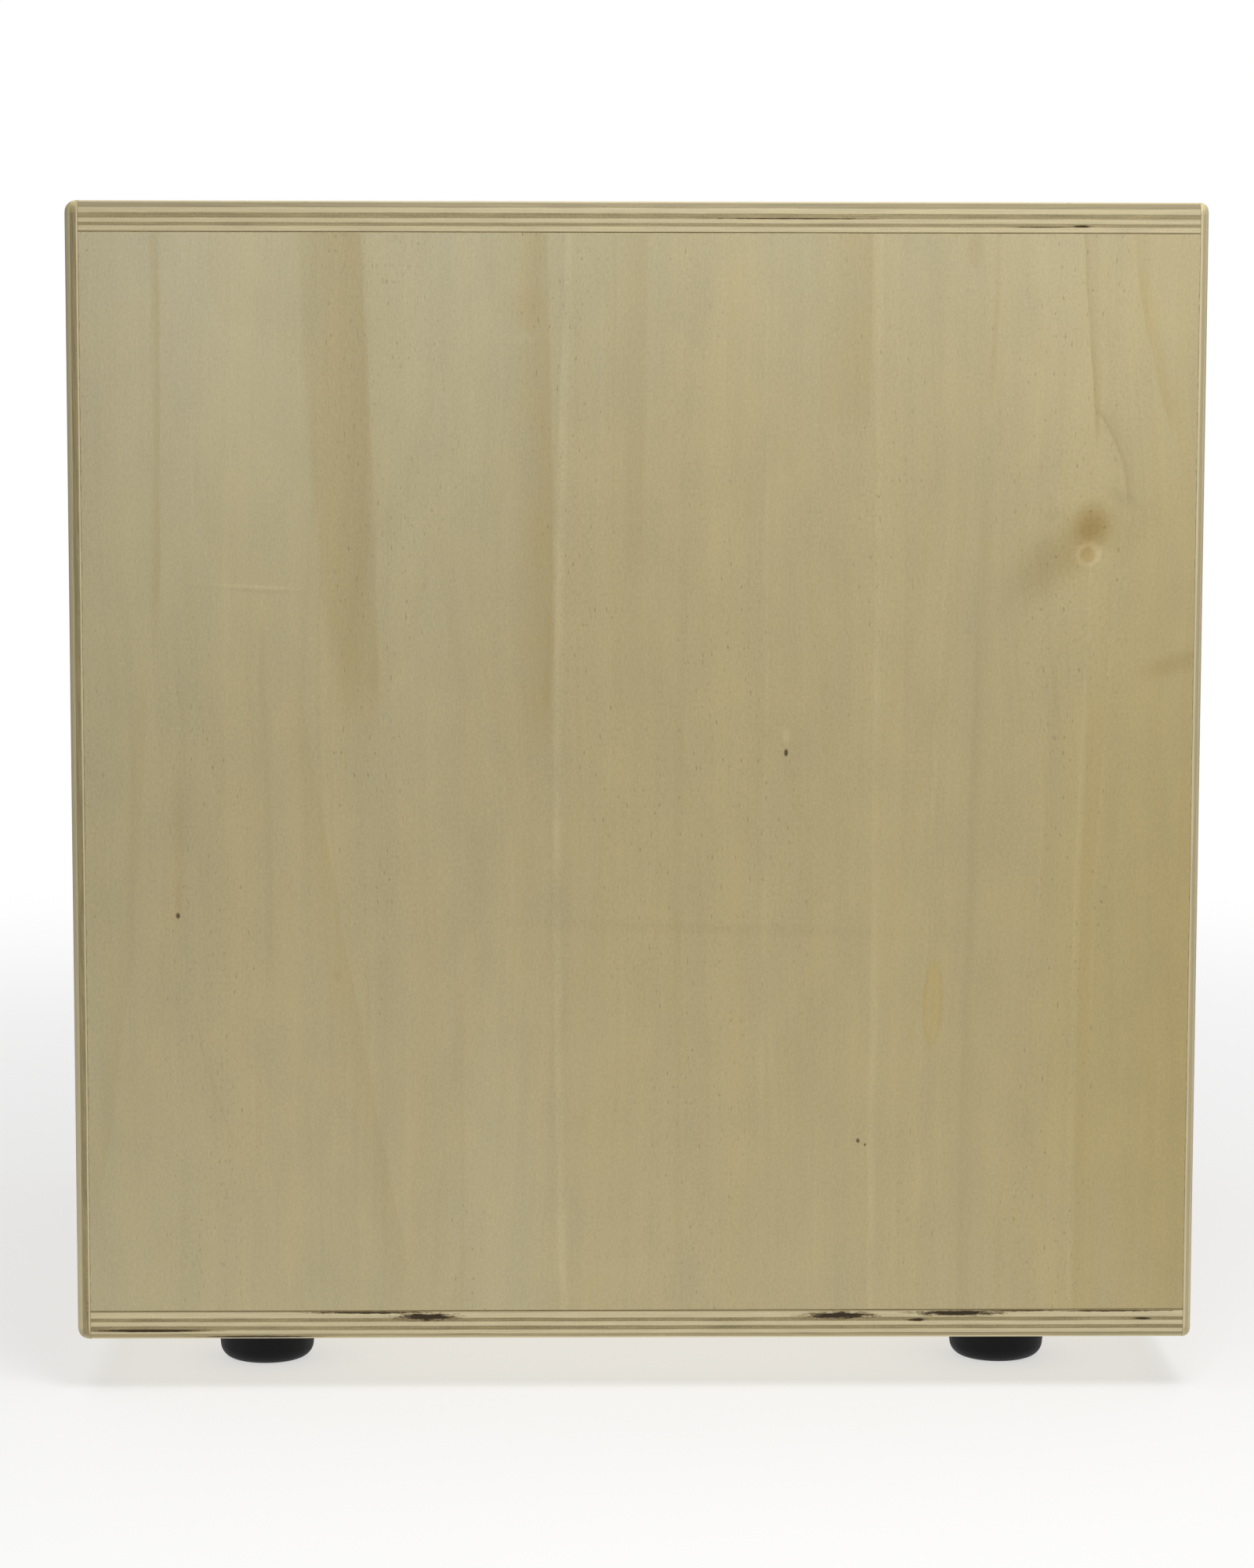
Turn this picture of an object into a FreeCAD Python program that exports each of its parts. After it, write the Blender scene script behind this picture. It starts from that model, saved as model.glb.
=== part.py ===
"""Compact snare cajon: a glued plywood box with a screwed-on front plate (the tapa) and back plate,
rubber feet, and four snare strings that a pair of screws tightens from under the box.

Units are millimetres. The origin is on the floor under the middle of the box: +X is the player's right,
-Y is the front, where the tapa is, and +Z is up. Every size comes from the sheet, and each sub-part is
one object of the document, labelled with the name of its file.
"""

import FreeCAD, Part
import os
import re
import Sketcher
from FreeCAD import Rotation, Vector

SIZES = (
    # name, value, what it is
    ("box_width", 300, "left to right over the side boards"),
    ("box_depth", 300, "front to back over both plates"),
    ("box_height", 304, "over the top and bottom boards, without feet"),
    ("board_thick", 8, "seven-ply boards of the box"),
    ("tapa_thick", 3.6, "three-ply playing plate"),
    ("back_thick", 2.2, "three-ply back plate"),
    ("edge_round", 3.2, "rounding of the long side edges of the box"),
    ("tapa_round", 3, "rounding of the tapa's rim"),
    ("back_round", 1.9, "rounding of the back plate's rim"),
    ("joint_arris", 0.3, "broken edge of a side board at its glue joints"),
    ("port_dia", 110, "sound port in the back plate"),
    ("port_round", 0.8, "eased edges of the sound port"),
    ("batten_side", 15, "square battens glued behind the rims of both plates"),
    ("batten_arris", 1.2, "broken inner edge of a batten"),
    ("block_leg", 18, "legs of the three-cornered glue blocks"),
    ("hole_play", 0.05, "radial play of a screw in its hole"),
    ("screw_head_dia", 6, "countersunk plate screw"),
    ("screw_head_deep", 1.7, "its countersunk head"),
    ("screw_land", 0.25, "straight rim of its head"),
    ("screw_dia", 3, "outside of its thread"),
    ("screw_core_dia", 2, "core of its thread"),
    ("screw_length", 16, "head to tip"),
    ("screw_pitch", 1.35, "spacing of all wood-thread ridges"),
    ("screw_sunk", 0.1, "its head below the plate's face"),
    ("cross_length", 3.2, "driver recess of every wood screw"),
    ("cross_width", 0.8, "driver recess of every wood screw"),
    ("cross_deep", 1.2, "driver recess of every wood screw"),
    ("side_screw_inset", 22, "end screws of an upright, from the box's corner"),
    ("row_screw_pitch", 72, "spacing of the screws along top and bottom"),
    ("foot_height", 14, "rubber foot, floor to box"),
    ("foot_top_dia", 28, "foot where it meets the box"),
    ("foot_floor_dia", 25, "foot where it meets the floor"),
    ("foot_round", 4, "rounded lower edge of a foot"),
    ("foot_inset_side", 41, "foot centre from the box's side"),
    ("foot_inset_end", 48.5, "foot centre from the box's front or back"),
    ("foot_well_dia", 12, "well for the screw head in a foot"),
    ("foot_web", 6.5, "rubber between the well and the box"),
    ("foot_washer_dia", 11, "washer in a foot"),
    ("foot_screw_dia", 3.8, "outside of the foot screw's thread"),
    ("foot_screw_core_dia", 2.8, "core of its thread"),
    ("foot_screw_head_dia", 7.6, "its pan head"),
    ("foot_screw_head_high", 2.5, "its pan head"),
    ("foot_screw_length", 14, "under its head"),
    ("washer_thick", 1.2, "all plain washers"),
    ("rail_thick", 12, "string rail, front to back"),
    ("rail_height", 18, "string rail, top to bottom"),
    ("string_gap", 1, "room for the strings between tapa and rail"),
    ("string_play", 0.05, "string clear of the rail it lies against"),
    ("string_dia", 0.9, "wound steel string"),
    ("string_bend", 1.5, "radius of a string's bends"),
    ("string_hole_dia", 1.6, "string holes"),
    ("string_mouth_dia", 4.2, "eased mouth of a string hole"),
    ("string_spread", 18, "string from the middle of its channel"),
    ("string_stub", 3.7, "string inside its ball end or ferrule"),
    ("sleeve_play", 0.02, "radial play of a string in its sleeve"),
    ("sleeve_length", 4, "ball end, and ferrule"),
    ("ball_dia", 4, "ball end of a string"),
    ("ball_waist_dia", 3, "waist of a ball end"),
    ("ferrule_dia", 3, "crimped ferrule on a string's lower end"),
    ("plate_thick", 1.5, "sheet steel of the anchor plate and channels"),
    ("anchor_length", 150, "anchor plate"),
    ("anchor_height", 12, "anchor plate"),
    ("anchor_screw_inset", 6, "screw from the anchor plate's end"),
    ("anchor_screw_dia", 2.9, "outside of the anchor screw's thread"),
    ("anchor_screw_core_dia", 2, "core of its thread"),
    ("anchor_screw_head_dia", 5.6, "its pan head"),
    ("anchor_screw_head_high", 2, "its pan head"),
    ("anchor_screw_length", 9, "under its head"),
    ("channel_offset", 45, "middle of a channel from the middle of the box"),
    ("channel_length", 52, "tension channel"),
    ("channel_width", 13.2, "over its flanges"),
    ("channel_height", 8.5, "over its flanges"),
    ("channel_bend", 1.2, "outside radius of its bends"),
    ("channel_gap", 1.5, "channel from the tapa"),
    ("channel_rest", 8, "channel above the front batten, at rest"),
    ("channel_hole_high", 5, "string holes, above the channel's underside"),
    ("guide_thick", 12, "guide rail behind the channels"),
    ("guide_height", 48, "guide rail, above the bottom board"),
    ("guide_length", 178, "guide rail, left to right"),
    ("bolt_dia", 6, "tension bolt"),
    ("bolt_length", 45, "under its head"),
    ("bolt_pitch", 1, "its thread"),
    ("bolt_thread_deep", 0.54, "its thread"),
    ("bolt_thread_length", 24, "its threaded end"),
    ("bolt_head_dia", 10.5, "its button head"),
    ("bolt_head_high", 3.3, "its button head"),
    ("bolt_head_round", 2.3, "rounding of its button head"),
    ("bolt_key", 4, "across the flats of its hexagon socket"),
    ("bolt_key_deep", 2.1, "depth of the socket"),
    ("bolt_hole_dia", 6.5, "holes that a bolt turns in"),
    ("bolt_washer_dia", 14, "washer under a bolt's head"),
    ("nut_flats", 10, "across the flats of the nut"),
    ("nut_height", 5, "nut"),
    ("nut_bore_dia", 6.1, "running bore of the nut"),
    ("nut_arris", 0.4, "broken edges of the nut"),
)

SIDE_SCREWS = 5  # plate screws down each upright
ROW_SCREWS = 3  # plate screws along the top, and along the bottom

doc = FreeCAD.newDocument("Cajon")
sheet = doc.addObject("Spreadsheet::Sheet", "Sizes")
for row, (name, number, meaning) in enumerate(SIZES, 1):
    sheet.set(f"A{row}", meaning)
    sheet.set(f"B{row}", str(number))
    sheet.setAlias(f"B{row}", name)
doc.recompute()

# Places that many parts share, as expressions on the sheet.
BASE = "foot_height"
TOP = "(foot_height + box_height)"
FLOOR_IN = "(foot_height + board_thick)"
CEILING_IN = "(foot_height + box_height - board_thick)"
SIDE_IN = "(box_width / 2 - board_thick)"
FRONT_IN = "(tapa_thick - box_depth / 2)"
BACK_IN = "(box_depth / 2 - back_thick)"
UPRIGHT_IN = "(box_width / 2 - board_thick - batten_side)"
CHANNEL_FRONT = "(tapa_thick - box_depth / 2 + channel_gap)"
BOLT_Y = "(tapa_thick - box_depth / 2 + channel_gap + channel_width / 2)"
WEB_Z = "(foot_height + board_thick + batten_side + channel_rest)"
RAIL_FRONT = "(tapa_thick - box_depth / 2 + string_gap)"
RAIL_BACK = "(tapa_thick - box_depth / 2 + string_gap + rail_thick)"
STRING_Y = "(tapa_thick - box_depth / 2 + string_gap - string_play - string_dia / 2)"
STRING_TOP_Z = "(foot_height + box_height - board_thick - batten_side - rail_height / 2)"
STRING_LOW_Z = "(foot_height + board_thick + batten_side + channel_rest + channel_hole_high)"

nodes = {}


def on_sheet(text):
    """The expression with every name looked up on the sheet."""
    return re.sub(r"[a-z_]+", r"Sizes.\g<0>", text)


def size(text):
    """The number that an expression stands for."""
    return float(sheet.evalExpression(on_sheet(text)))


def bind(thing, prop, text):
    """Ties a property to an expression on the sheet."""
    thing.setExpression(prop, on_sheet(text))


def place(thing, x, y, z):
    """Ties the position of an object to three expressions."""
    for axis, text in zip("xyz", (x, y, z)):
        bind(thing, f"Placement.Base.{axis}", text)


def new_body(name):
    return doc.addObject("PartDesign::Body", name)


def sketch_on(body, role, lift="0"):
    """A sketch on one of the body's own origin planes, lifted along the plane's normal."""
    sketch = body.newObject("Sketcher::SketchObject", "Sketch")
    plane = next(p for p in body.Origin.OriginFeatures if p.Role == role)
    sketch.AttachmentSupport = [(plane, "")]
    sketch.MapMode = "FlatFace"
    bind(sketch, "AttachmentOffset.Base.z", lift)
    return sketch


def tie(sketch, shape, point, x, y):
    """Holds one point of a sketch at two expressions from the sketch's origin."""
    for kind, axis, text in (("DistanceX", -2, x), ("DistanceY", -1, y)):
        if text == "0":
            sketch.addConstraint(Sketcher.Constraint("PointOnObject", shape, point, axis))
            continue
        held = Sketcher.Constraint(kind, -1, 1, shape, point, size(text))
        bind(sketch, f"Constraints[{sketch.addConstraint(held)}]", text)


def outline(sketch, corners):
    """A closed outline of straight lines through corners, each a pair of expressions."""
    points = [Vector(size(x), size(y), 0) for x, y in corners]
    first, count = sketch.GeometryCount, len(points)
    for i in range(count):
        sketch.addGeometry(Part.LineSegment(points[i], points[(i + 1) % count]), False)
    for i in range(count):
        meet = Sketcher.Constraint("Coincident", first + i, 2, first + (i + 1) % count, 1)
        sketch.addConstraint(meet)
    for i, (x, y) in enumerate(corners):
        tie(sketch, first + i, 1, x, y)


def rectangle(sketch, x, y):
    """A rectangle between two pairs of expressions."""
    outline(sketch, [(x[0], y[0]), (x[1], y[0]), (x[1], y[1]), (x[0], y[1])])


def circle(sketch, x, y, diameter):
    """A circle at two expressions."""
    round_line = Part.Circle(Vector(size(x), size(y), 0), Vector(0, 0, 1), size(diameter) / 2)
    index = sketch.addGeometry(round_line, False)
    tie(sketch, index, 3, x, y)
    held = Sketcher.Constraint("Diameter", index, size(diameter))
    bind(sketch, f"Constraints[{sketch.addConstraint(held)}]", diameter)


def hexagon(sketch, across_flats):
    """A hexagon about the origin, with two of its sides parallel to the sketch's x axis."""
    tan_30, half = "0.57735027", f"{across_flats} / 2"
    outline(
        sketch,
        [
            (f"{half} * {tan_30}", half),
            (f"-{half} * {tan_30}", half),
            (f"-{half} * {tan_30} * 2", "0"),
            (f"-{half} * {tan_30}", f"-{half}"),
            (f"{half} * {tan_30}", f"-{half}"),
            (f"{half} * {tan_30} * 2", "0"),
        ],
    )


def grow(body, kind, sketch, length, backwards=False):
    """A Pad or Pocket of a sketch, to a bound length."""
    feature = body.newObject(f"PartDesign::{kind}", kind)
    feature.Profile = sketch
    feature.Reversed = backwards
    bind(feature, "Length", length)
    doc.recompute()


def spin(body, sketch):
    """A full Revolution of a sketch about its own vertical axis."""
    feature = body.newObject("PartDesign::Revolution", "Revolution")
    feature.Profile = sketch
    feature.ReferenceAxis = (sketch, ["V_Axis"])
    feature.Angle = 360
    doc.recompute()


def ease(body, kind, amount, wanted):
    """A Fillet or Chamfer of the edges of the body's tip that wanted() picks."""
    base = body.Tip
    names = [f"Edge{i}" for i, edge in enumerate(base.Shape.Edges, 1) if wanted(edge)]
    feature = body.newObject(f"PartDesign::{kind}", kind)
    feature.Base = (base, names)
    bind(feature, "Radius" if kind == "Fillet" else "Size", amount)
    doc.recompute()


def middle(edge):
    return edge.valueAt((edge.FirstParameter + edge.LastParameter) / 2)


def near(a, b):
    return abs(a - b) < 0.01


def runs_along(edge, axis):
    """Whether a straight edge runs along an axis."""
    if not isinstance(edge.Curve, Part.Line):
        return False
    return abs(edge.Curve.Direction.dot(axis)) > 0.999


def is_round(edge, radius):
    """Whether an edge is a circle, or part of one, of that radius."""
    return isinstance(edge.Curve, Part.Circle) and near(edge.Curve.Radius, size(radius))


X_AXIS, Y_AXIS, Z_AXIS = Vector(1, 0, 0), Vector(0, 1, 0), Vector(0, 0, 1)


def slab(name, x, y, z):
    """A body that fills a box: x, y and z are each a (low, high) pair of expressions."""
    body = new_body(name)
    sketch = sketch_on(body, "XY_Plane", z[0])
    rectangle(sketch, x, y)
    grow(body, "Pad", sketch, f"({z[1]}) - ({z[0]})")
    return body


def keep(label, thing):
    """Names an object as a sub-part."""
    thing.Label = label
    nodes[label] = thing
    return thing


def cut(label, blank, *tools):
    """The sub-part that is left of a blank once the tools have cut it."""
    blank.Label = f"{label}_blank"
    for tool in tools:
        result = doc.addObject("Part::Cut", f"{label}_cut")
        result.Base, result.Tool = blank, tool
        blank = result
    return keep(label, blank)


def several(label, original, places, turn=Rotation()):
    """A group of the same solid, linked at each place."""
    links = []
    for x, y, z in places:
        link = doc.addObject("App::Link", f"{label}_item")
        link.LinkedObject = original
        link.Placement.Rotation = turn
        place(link, x, y, z)
        links.append(link)
    group = doc.addObject("Part::Compound", label)
    group.Label = label
    group.Links = links
    return group


def along_y(name, corners, y):
    """A body with one outline in X and Z, drawn from y[0] to y[1]."""
    body = new_body(name)
    sketch = sketch_on(body, "XZ_Plane", f"-{y[0]}")
    outline(sketch, corners)
    grow(body, "Pad", sketch, f"({y[1]}) - ({y[0]})", backwards=True)
    return body


def turned(name, corners):
    """A body turned about Z from half an outline of (radius, height) pairs."""
    body = new_body(name)
    sketch = sketch_on(body, "XZ_Plane")
    outline(sketch, corners)
    spin(body, sketch)
    return body


def ring(name, outside, bore, thick):
    """A flat ring, or a sleeve, standing on z = 0."""
    body = new_body(name)
    sketch = sketch_on(body, "XY_Plane")
    circle(sketch, "0", "0", outside)
    circle(sketch, "0", "0", bore)
    grow(body, "Pad", sketch, thick)
    return body


def rod(name, diameter, low, high):
    """A plain round tool about Z from low to high."""
    return turned(name, [("0", low), (f"{diameter} / 2", low), (f"{diameter} / 2", high), ("0", high)])


FACE_OUT_FRONT = Rotation(X_AXIS, 90)  # +Z of the original points to the front
FACE_OUT_BACK = Rotation(X_AXIS, -90)  # +Z of the original points to the back
FACE_DOWN = Rotation(X_AXIS, 180)


# Wood screws, each drawn with the top of its head at z = 0 and its tip down.


def wood_screw(name, head, shank_dia, core_dia, neck, tip):
    """A screw from a head outline, with ridges for its thread from neck down to near the tip."""
    corners = [("0", "0")] + head
    ridges = int((size(neck) - size(tip)) / size("screw_pitch")) - 1
    for i in range(ridges):
        corners.append((f"{core_dia} / 2", f"{neck} - {i} * screw_pitch"))
        corners.append((f"{shank_dia} / 2", f"{neck} - {i} * screw_pitch - screw_pitch / 2"))
    corners.append((f"{core_dia} / 2", f"{neck} - {ridges} * screw_pitch"))
    corners.append(("0", tip))
    body = turned(name, corners)
    sketch = sketch_on(body, "XY_Plane")
    arm, half = "cross_length / 2", "cross_width / 2"
    quarter = [(arm, half), (half, half), (half, arm)]
    cross = quarter + [(f"-{x}", y) for x, y in reversed(quarter)]
    cross += [(f"-{x}", f"-{y}") for x, y in quarter]
    cross += [(x, f"-{y}") for x, y in reversed(quarter)]
    outline(sketch, cross)
    grow(body, "Pocket", sketch, "cross_deep")
    return body


def countersunk_screw():
    head = [
        ("screw_head_dia / 2", "0"),
        ("screw_head_dia / 2", "-screw_land"),
        ("screw_dia / 2", "-screw_head_deep"),
    ]
    neck = "-screw_head_deep - screw_pitch"
    return wood_screw("PlateScrew", head, "screw_dia", "screw_core_dia", neck, "-screw_length")


def pan_screw(kind):
    """A pan-head screw whose sizes start with kind, such as foot_screw."""
    head_dia, high = f"{kind}_head_dia", f"{kind}_head_high"
    head = [
        (f"{head_dia} * 0.32", "0"),
        (f"{head_dia} * 0.46", f"-{high} * 0.3"),
        (f"{head_dia} / 2", f"-{high} * 0.6"),
        (f"{head_dia} / 2", f"-{high}"),
        (f"{kind}_dia / 2", f"-{high}"),
    ]
    tip = f"-{high} - {kind}_length"
    return wood_screw(kind, head, f"{kind}_dia", f"{kind}_core_dia", f"-{high} - 0.8", tip)


def plate_screw_hole():
    """Countersink and pilot hole, with z = 0 on the plate's face."""
    rim, shank = "screw_head_dia / 2 + hole_play", "screw_dia / 2 + hole_play"
    end = "-screw_sunk - screw_length - 0.5"
    return turned(
        "PlateScrewHole",
        [
            ("0", "1"),
            (rim, "1"),
            (rim, "-screw_sunk - screw_land"),
            (shank, "-screw_sunk - screw_head_deep"),
            (shank, end),
            ("0", end),
        ],
    )


def plate_screw_places(y):
    """Down both uprights and along the top and bottom battens."""
    column = "(box_width / 2 - board_thick - batten_side / 2)"
    low, high = f"{BASE} + side_screw_inset", f"{TOP} - side_screw_inset"
    places = []
    for side in ("-", ""):
        for i in range(SIDE_SCREWS):
            places.append((f"{side}{column}", y, f"{low} + ({high} - ({low})) * {i} / {SIDE_SCREWS - 1}"))
    for z in (f"{FLOOR_IN} + batten_side / 2", f"{CEILING_IN} - batten_side / 2"):
        for i in range(ROW_SCREWS):
            places.append((f"row_screw_pitch * {i - ROW_SCREWS // 2}", y, z))
    return places


plate_screw = countersunk_screw()
plate_hole = plate_screw_hole()
tapa_holes = several("tapa_holes", plate_hole, plate_screw_places("-box_depth / 2"), FACE_OUT_FRONT)
back_holes = several("back_holes", plate_hole, plate_screw_places("box_depth / 2"), FACE_OUT_BACK)
tapa_places = plate_screw_places("screw_sunk - box_depth / 2")
back_places = plate_screw_places("box_depth / 2 - screw_sunk")
keep("tapa_screws", several("tapa_screws", plate_screw, tapa_places, FACE_OUT_FRONT))
keep("back_screws", several("back_screws", plate_screw, back_places, FACE_OUT_BACK))

FOOT_PLACES = [
    (f"{across}(box_width / 2 - foot_inset_side)", f"{along}(box_depth / 2 - foot_inset_end)")
    for across in ("-", "")
    for along in ("-", "")
]
BOLT_PLACES = [("-channel_offset", BOLT_Y), ("channel_offset", BOLT_Y)]
STRING_PLACES = {
    "outer_left": "-channel_offset - string_spread",
    "inner_left": "-channel_offset + string_spread",
    "inner_right": "channel_offset - string_spread",
    "outer_right": "channel_offset + string_spread",
}

foot_hole_deep = "foot_screw_length - foot_web - washer_thick + 0.5"
foot_hole = rod("FootScrewHole", "foot_screw_dia + 2 * hole_play", "-1", foot_hole_deep)
foot_holes = several("foot_holes", foot_hole, [(x, y, BASE) for x, y in FOOT_PLACES])
bolt_hole = rod("BoltHole", "bolt_hole_dia", "-1", "board_thick + batten_side + 1")
bolt_holes = several("bolt_holes", bolt_hole, [(x, y, BASE) for x, y in BOLT_PLACES])


# The box.


def level_board(name, z, outer_z):
    """The top or bottom board, with its two outer side edges rounded."""
    board = slab(name, ("-box_width / 2", "box_width / 2"), (FRONT_IN, BACK_IN), z)
    ease(board, "Fillet", "edge_round", lambda e: runs_along(e, Y_AXIS) and near(middle(e).z, size(outer_z)))
    return board


def side_panel(label, side):
    """A side board, with its outer edges broken along the glue joints with top and bottom."""
    thickness = (f"{side}box_width / 2", f"{side}{SIDE_IN}")
    panel = slab(label, thickness, (FRONT_IN, BACK_IN), (FLOOR_IN, CEILING_IN))
    outer_x = size(thickness[0])
    ease(panel, "Chamfer", "joint_arris", lambda e: runs_along(e, Y_AXIS) and near(middle(e).x, outer_x))
    keep(label, panel)


def plate(name, y, outer_y, rim_round):
    """A front or back plate: corners rounded like the box, and a rounded outer rim."""
    sheet_of_ply = slab(name, ("-box_width / 2", "box_width / 2"), y, (BASE, TOP))
    ease(sheet_of_ply, "Fillet", "edge_round", lambda e: runs_along(e, Y_AXIS))
    on_face = lambda e: all(near(v.Y, size(outer_y)) for v in e.Vertexes)
    ease(sheet_of_ply, "Fillet", rim_round, on_face)
    return sheet_of_ply


def back_plate():
    body = plate("BackPlate", (BACK_IN, "box_depth / 2"), "box_depth / 2", "back_round")
    sketch = sketch_on(body, "XZ_Plane", f"-{BACK_IN}")
    circle(sketch, "0", f"{BASE} + box_height / 2", "port_dia")
    grow(body, "Pocket", sketch, "back_thick + 1")
    ease(body, "Fillet", "port_round", lambda e: is_round(e, "port_dia / 2"))
    return body


keep("top_board", level_board("top_board", (CEILING_IN, TOP), TOP))
cut("bottom_board", level_board("BottomBoard", (BASE, FLOOR_IN), BASE), foot_holes, bolt_holes)
side_panel("side_panel_left", "-")
side_panel("side_panel_right", "")
cut("tapa", plate("Tapa", ("-box_depth / 2", FRONT_IN), "-box_depth / 2", "tapa_round"), tapa_holes)
cut("back_panel", back_plate(), back_holes)


# Battens behind both plates, and three-cornered blocks along the side joints.


def batten(name, x, y, z, length_axis):
    """A batten with its edge nearest the middle of the box broken."""
    body = slab(name, x, y, z)
    heart = Vector(0, 0, size(f"{BASE} + box_height / 2"))
    lengthwise = [e for e in body.Tip.Shape.Edges if runs_along(e, length_axis)]
    inner = min((middle(e) for e in lengthwise), key=lambda p: p.distanceToPoint(heart))
    ease(body, "Chamfer", "batten_arris", lambda e: near(middle(e).distanceToPoint(inner), 0))
    return body


def batten_frame(end, y, screw_holes, other_holes):
    """Two uprights and two crosspieces behind one plate."""
    for side, sign in (("left", "-"), ("right", "")):
        x = (f"{sign}{SIDE_IN}", f"{sign}{UPRIGHT_IN}")
        body = batten("Upright", x, y, (FLOOR_IN, CEILING_IN), Z_AXIS)
        cut(f"{end}_batten_{side}", body, screw_holes)
    across = (f"-{UPRIGHT_IN}", UPRIGHT_IN)
    top = batten("Crosspiece", across, y, (f"{CEILING_IN} - batten_side", CEILING_IN), X_AXIS)
    low = batten("Crosspiece", across, y, (FLOOR_IN, f"{FLOOR_IN} + batten_side"), X_AXIS)
    cut(f"{end}_batten_top", top, screw_holes)
    cut(f"{end}_batten_bottom", low, screw_holes, *other_holes)


def corner_block(label, side, z, leg):
    """A glue block between two boards that meet at (SIDE_IN, z), with its long face inwards."""
    inner = f"{side}({SIDE_IN} - block_leg)"
    corners = [(f"{side}{SIDE_IN}", z), (inner, z), (f"{side}{SIDE_IN}", f"{z} {leg} block_leg")]
    keep(label, along_y(label, corners, (f"({FRONT_IN} + batten_side)", f"({BACK_IN} - batten_side)")))


batten_frame("front", (FRONT_IN, f"{FRONT_IN} + batten_side"), tapa_holes, [bolt_holes])
batten_frame("back", (f"{BACK_IN} - batten_side", BACK_IN), back_holes, [])
for side_name, side_sign in (("left", "-"), ("right", "")):
    corner_block(f"glue_block_top_{side_name}", side_sign, CEILING_IN, "-")
    corner_block(f"glue_block_bottom_{side_name}", side_sign, FLOOR_IN, "+")


# Feet: a rubber foot with a washer and a screw up its well into the bottom board.


def foot(label, x, y):
    """A foot standing on the floor, with the screw's well open at the bottom."""
    well, passage = "foot_well_dia / 2", "foot_screw_dia / 2 + hole_play"
    roof = "foot_height - foot_web"
    body = turned(
        label,
        [
            (well, "0"),
            ("foot_floor_dia / 2", "0"),
            ("foot_top_dia / 2", "foot_height"),
            (passage, "foot_height"),
            (passage, roof),
            (well, roof),
        ],
    )
    ease(body, "Fillet", "foot_round", lambda e: is_round(e, "foot_floor_dia / 2"))
    place(body, x, y, "0")
    keep(label, body)


for foot_name, (foot_x, foot_y) in zip(("front_left", "rear_left", "front_right", "rear_right"), FOOT_PLACES):
    foot(f"foot_{foot_name}", foot_x, foot_y)
foot_washer = ring("FootWasher", "foot_washer_dia", "foot_screw_dia + 0.6", "washer_thick")
washer_z = "foot_height - foot_web - washer_thick"
keep("foot_washers", several("foot_washers", foot_washer, [(x, y, washer_z) for x, y in FOOT_PLACES]))
head_z = f"{washer_z} - foot_screw_head_high"
foot_screw_places = [(x, y, head_z) for x, y in FOOT_PLACES]
keep("foot_screws", several("foot_screws", pan_screw("foot_screw"), foot_screw_places, FACE_DOWN))


# The upper end of the strings: a beech rail under the top batten, and a steel plate behind it.


def string_hole():
    """Through the rail and the anchor plate, with a flared mouth; z = 0 on the rail's front."""
    flare = "(string_mouth_dia - string_hole_dia) / 2"
    end = "-rail_thick - plate_thick - 1"
    return turned(
        "StringHole",
        [
            ("0", "0.5"),
            ("string_mouth_dia / 2 + 0.5", "0.5"),
            ("string_hole_dia / 2", f"-{flare}"),
            ("string_hole_dia / 2", end),
            ("0", end),
        ],
    )


string_holes = several(
    "string_holes",
    string_hole(),
    [(x, RAIL_FRONT, STRING_TOP_Z) for x in STRING_PLACES.values()],
    FACE_OUT_FRONT,
)
ANCHOR_BACK = f"{RAIL_BACK} + plate_thick"
anchor_ends = [f"{sign}(anchor_length / 2 - anchor_screw_inset)" for sign in ("-", "")]
anchor_hole = rod("AnchorScrewHole", "anchor_screw_dia + 2 * hole_play", "-anchor_screw_length - 0.5", "1")
anchor_holes = several(
    "anchor_holes", anchor_hole, [(x, ANCHOR_BACK, STRING_TOP_Z) for x in anchor_ends], FACE_OUT_BACK
)
rail = slab(
    "StringRail",
    (f"-{UPRIGHT_IN}", UPRIGHT_IN),
    (RAIL_FRONT, RAIL_BACK),
    (f"{STRING_TOP_Z} - rail_height / 2", f"{STRING_TOP_Z} + rail_height / 2"),
)
cut("string_rail", rail, string_holes, anchor_holes)
anchor = slab(
    "AnchorPlate",
    ("-anchor_length / 2", "anchor_length / 2"),
    (RAIL_BACK, f"{RAIL_BACK} + plate_thick"),
    (f"{STRING_TOP_Z} - anchor_height / 2", f"{STRING_TOP_Z} + anchor_height / 2"),
)
cut("anchor_plate", anchor, string_holes, anchor_holes)
keep(
    "anchor_screws",
    several(
        "anchor_screws",
        pan_screw("anchor_screw"),
        [(x, f"{ANCHOR_BACK} + anchor_screw_head_high", STRING_TOP_Z) for x in anchor_ends],
        FACE_OUT_BACK,
    ),
)


# The lower end: two steel channels that slide down a guide rail as their bolts turn.


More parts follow.
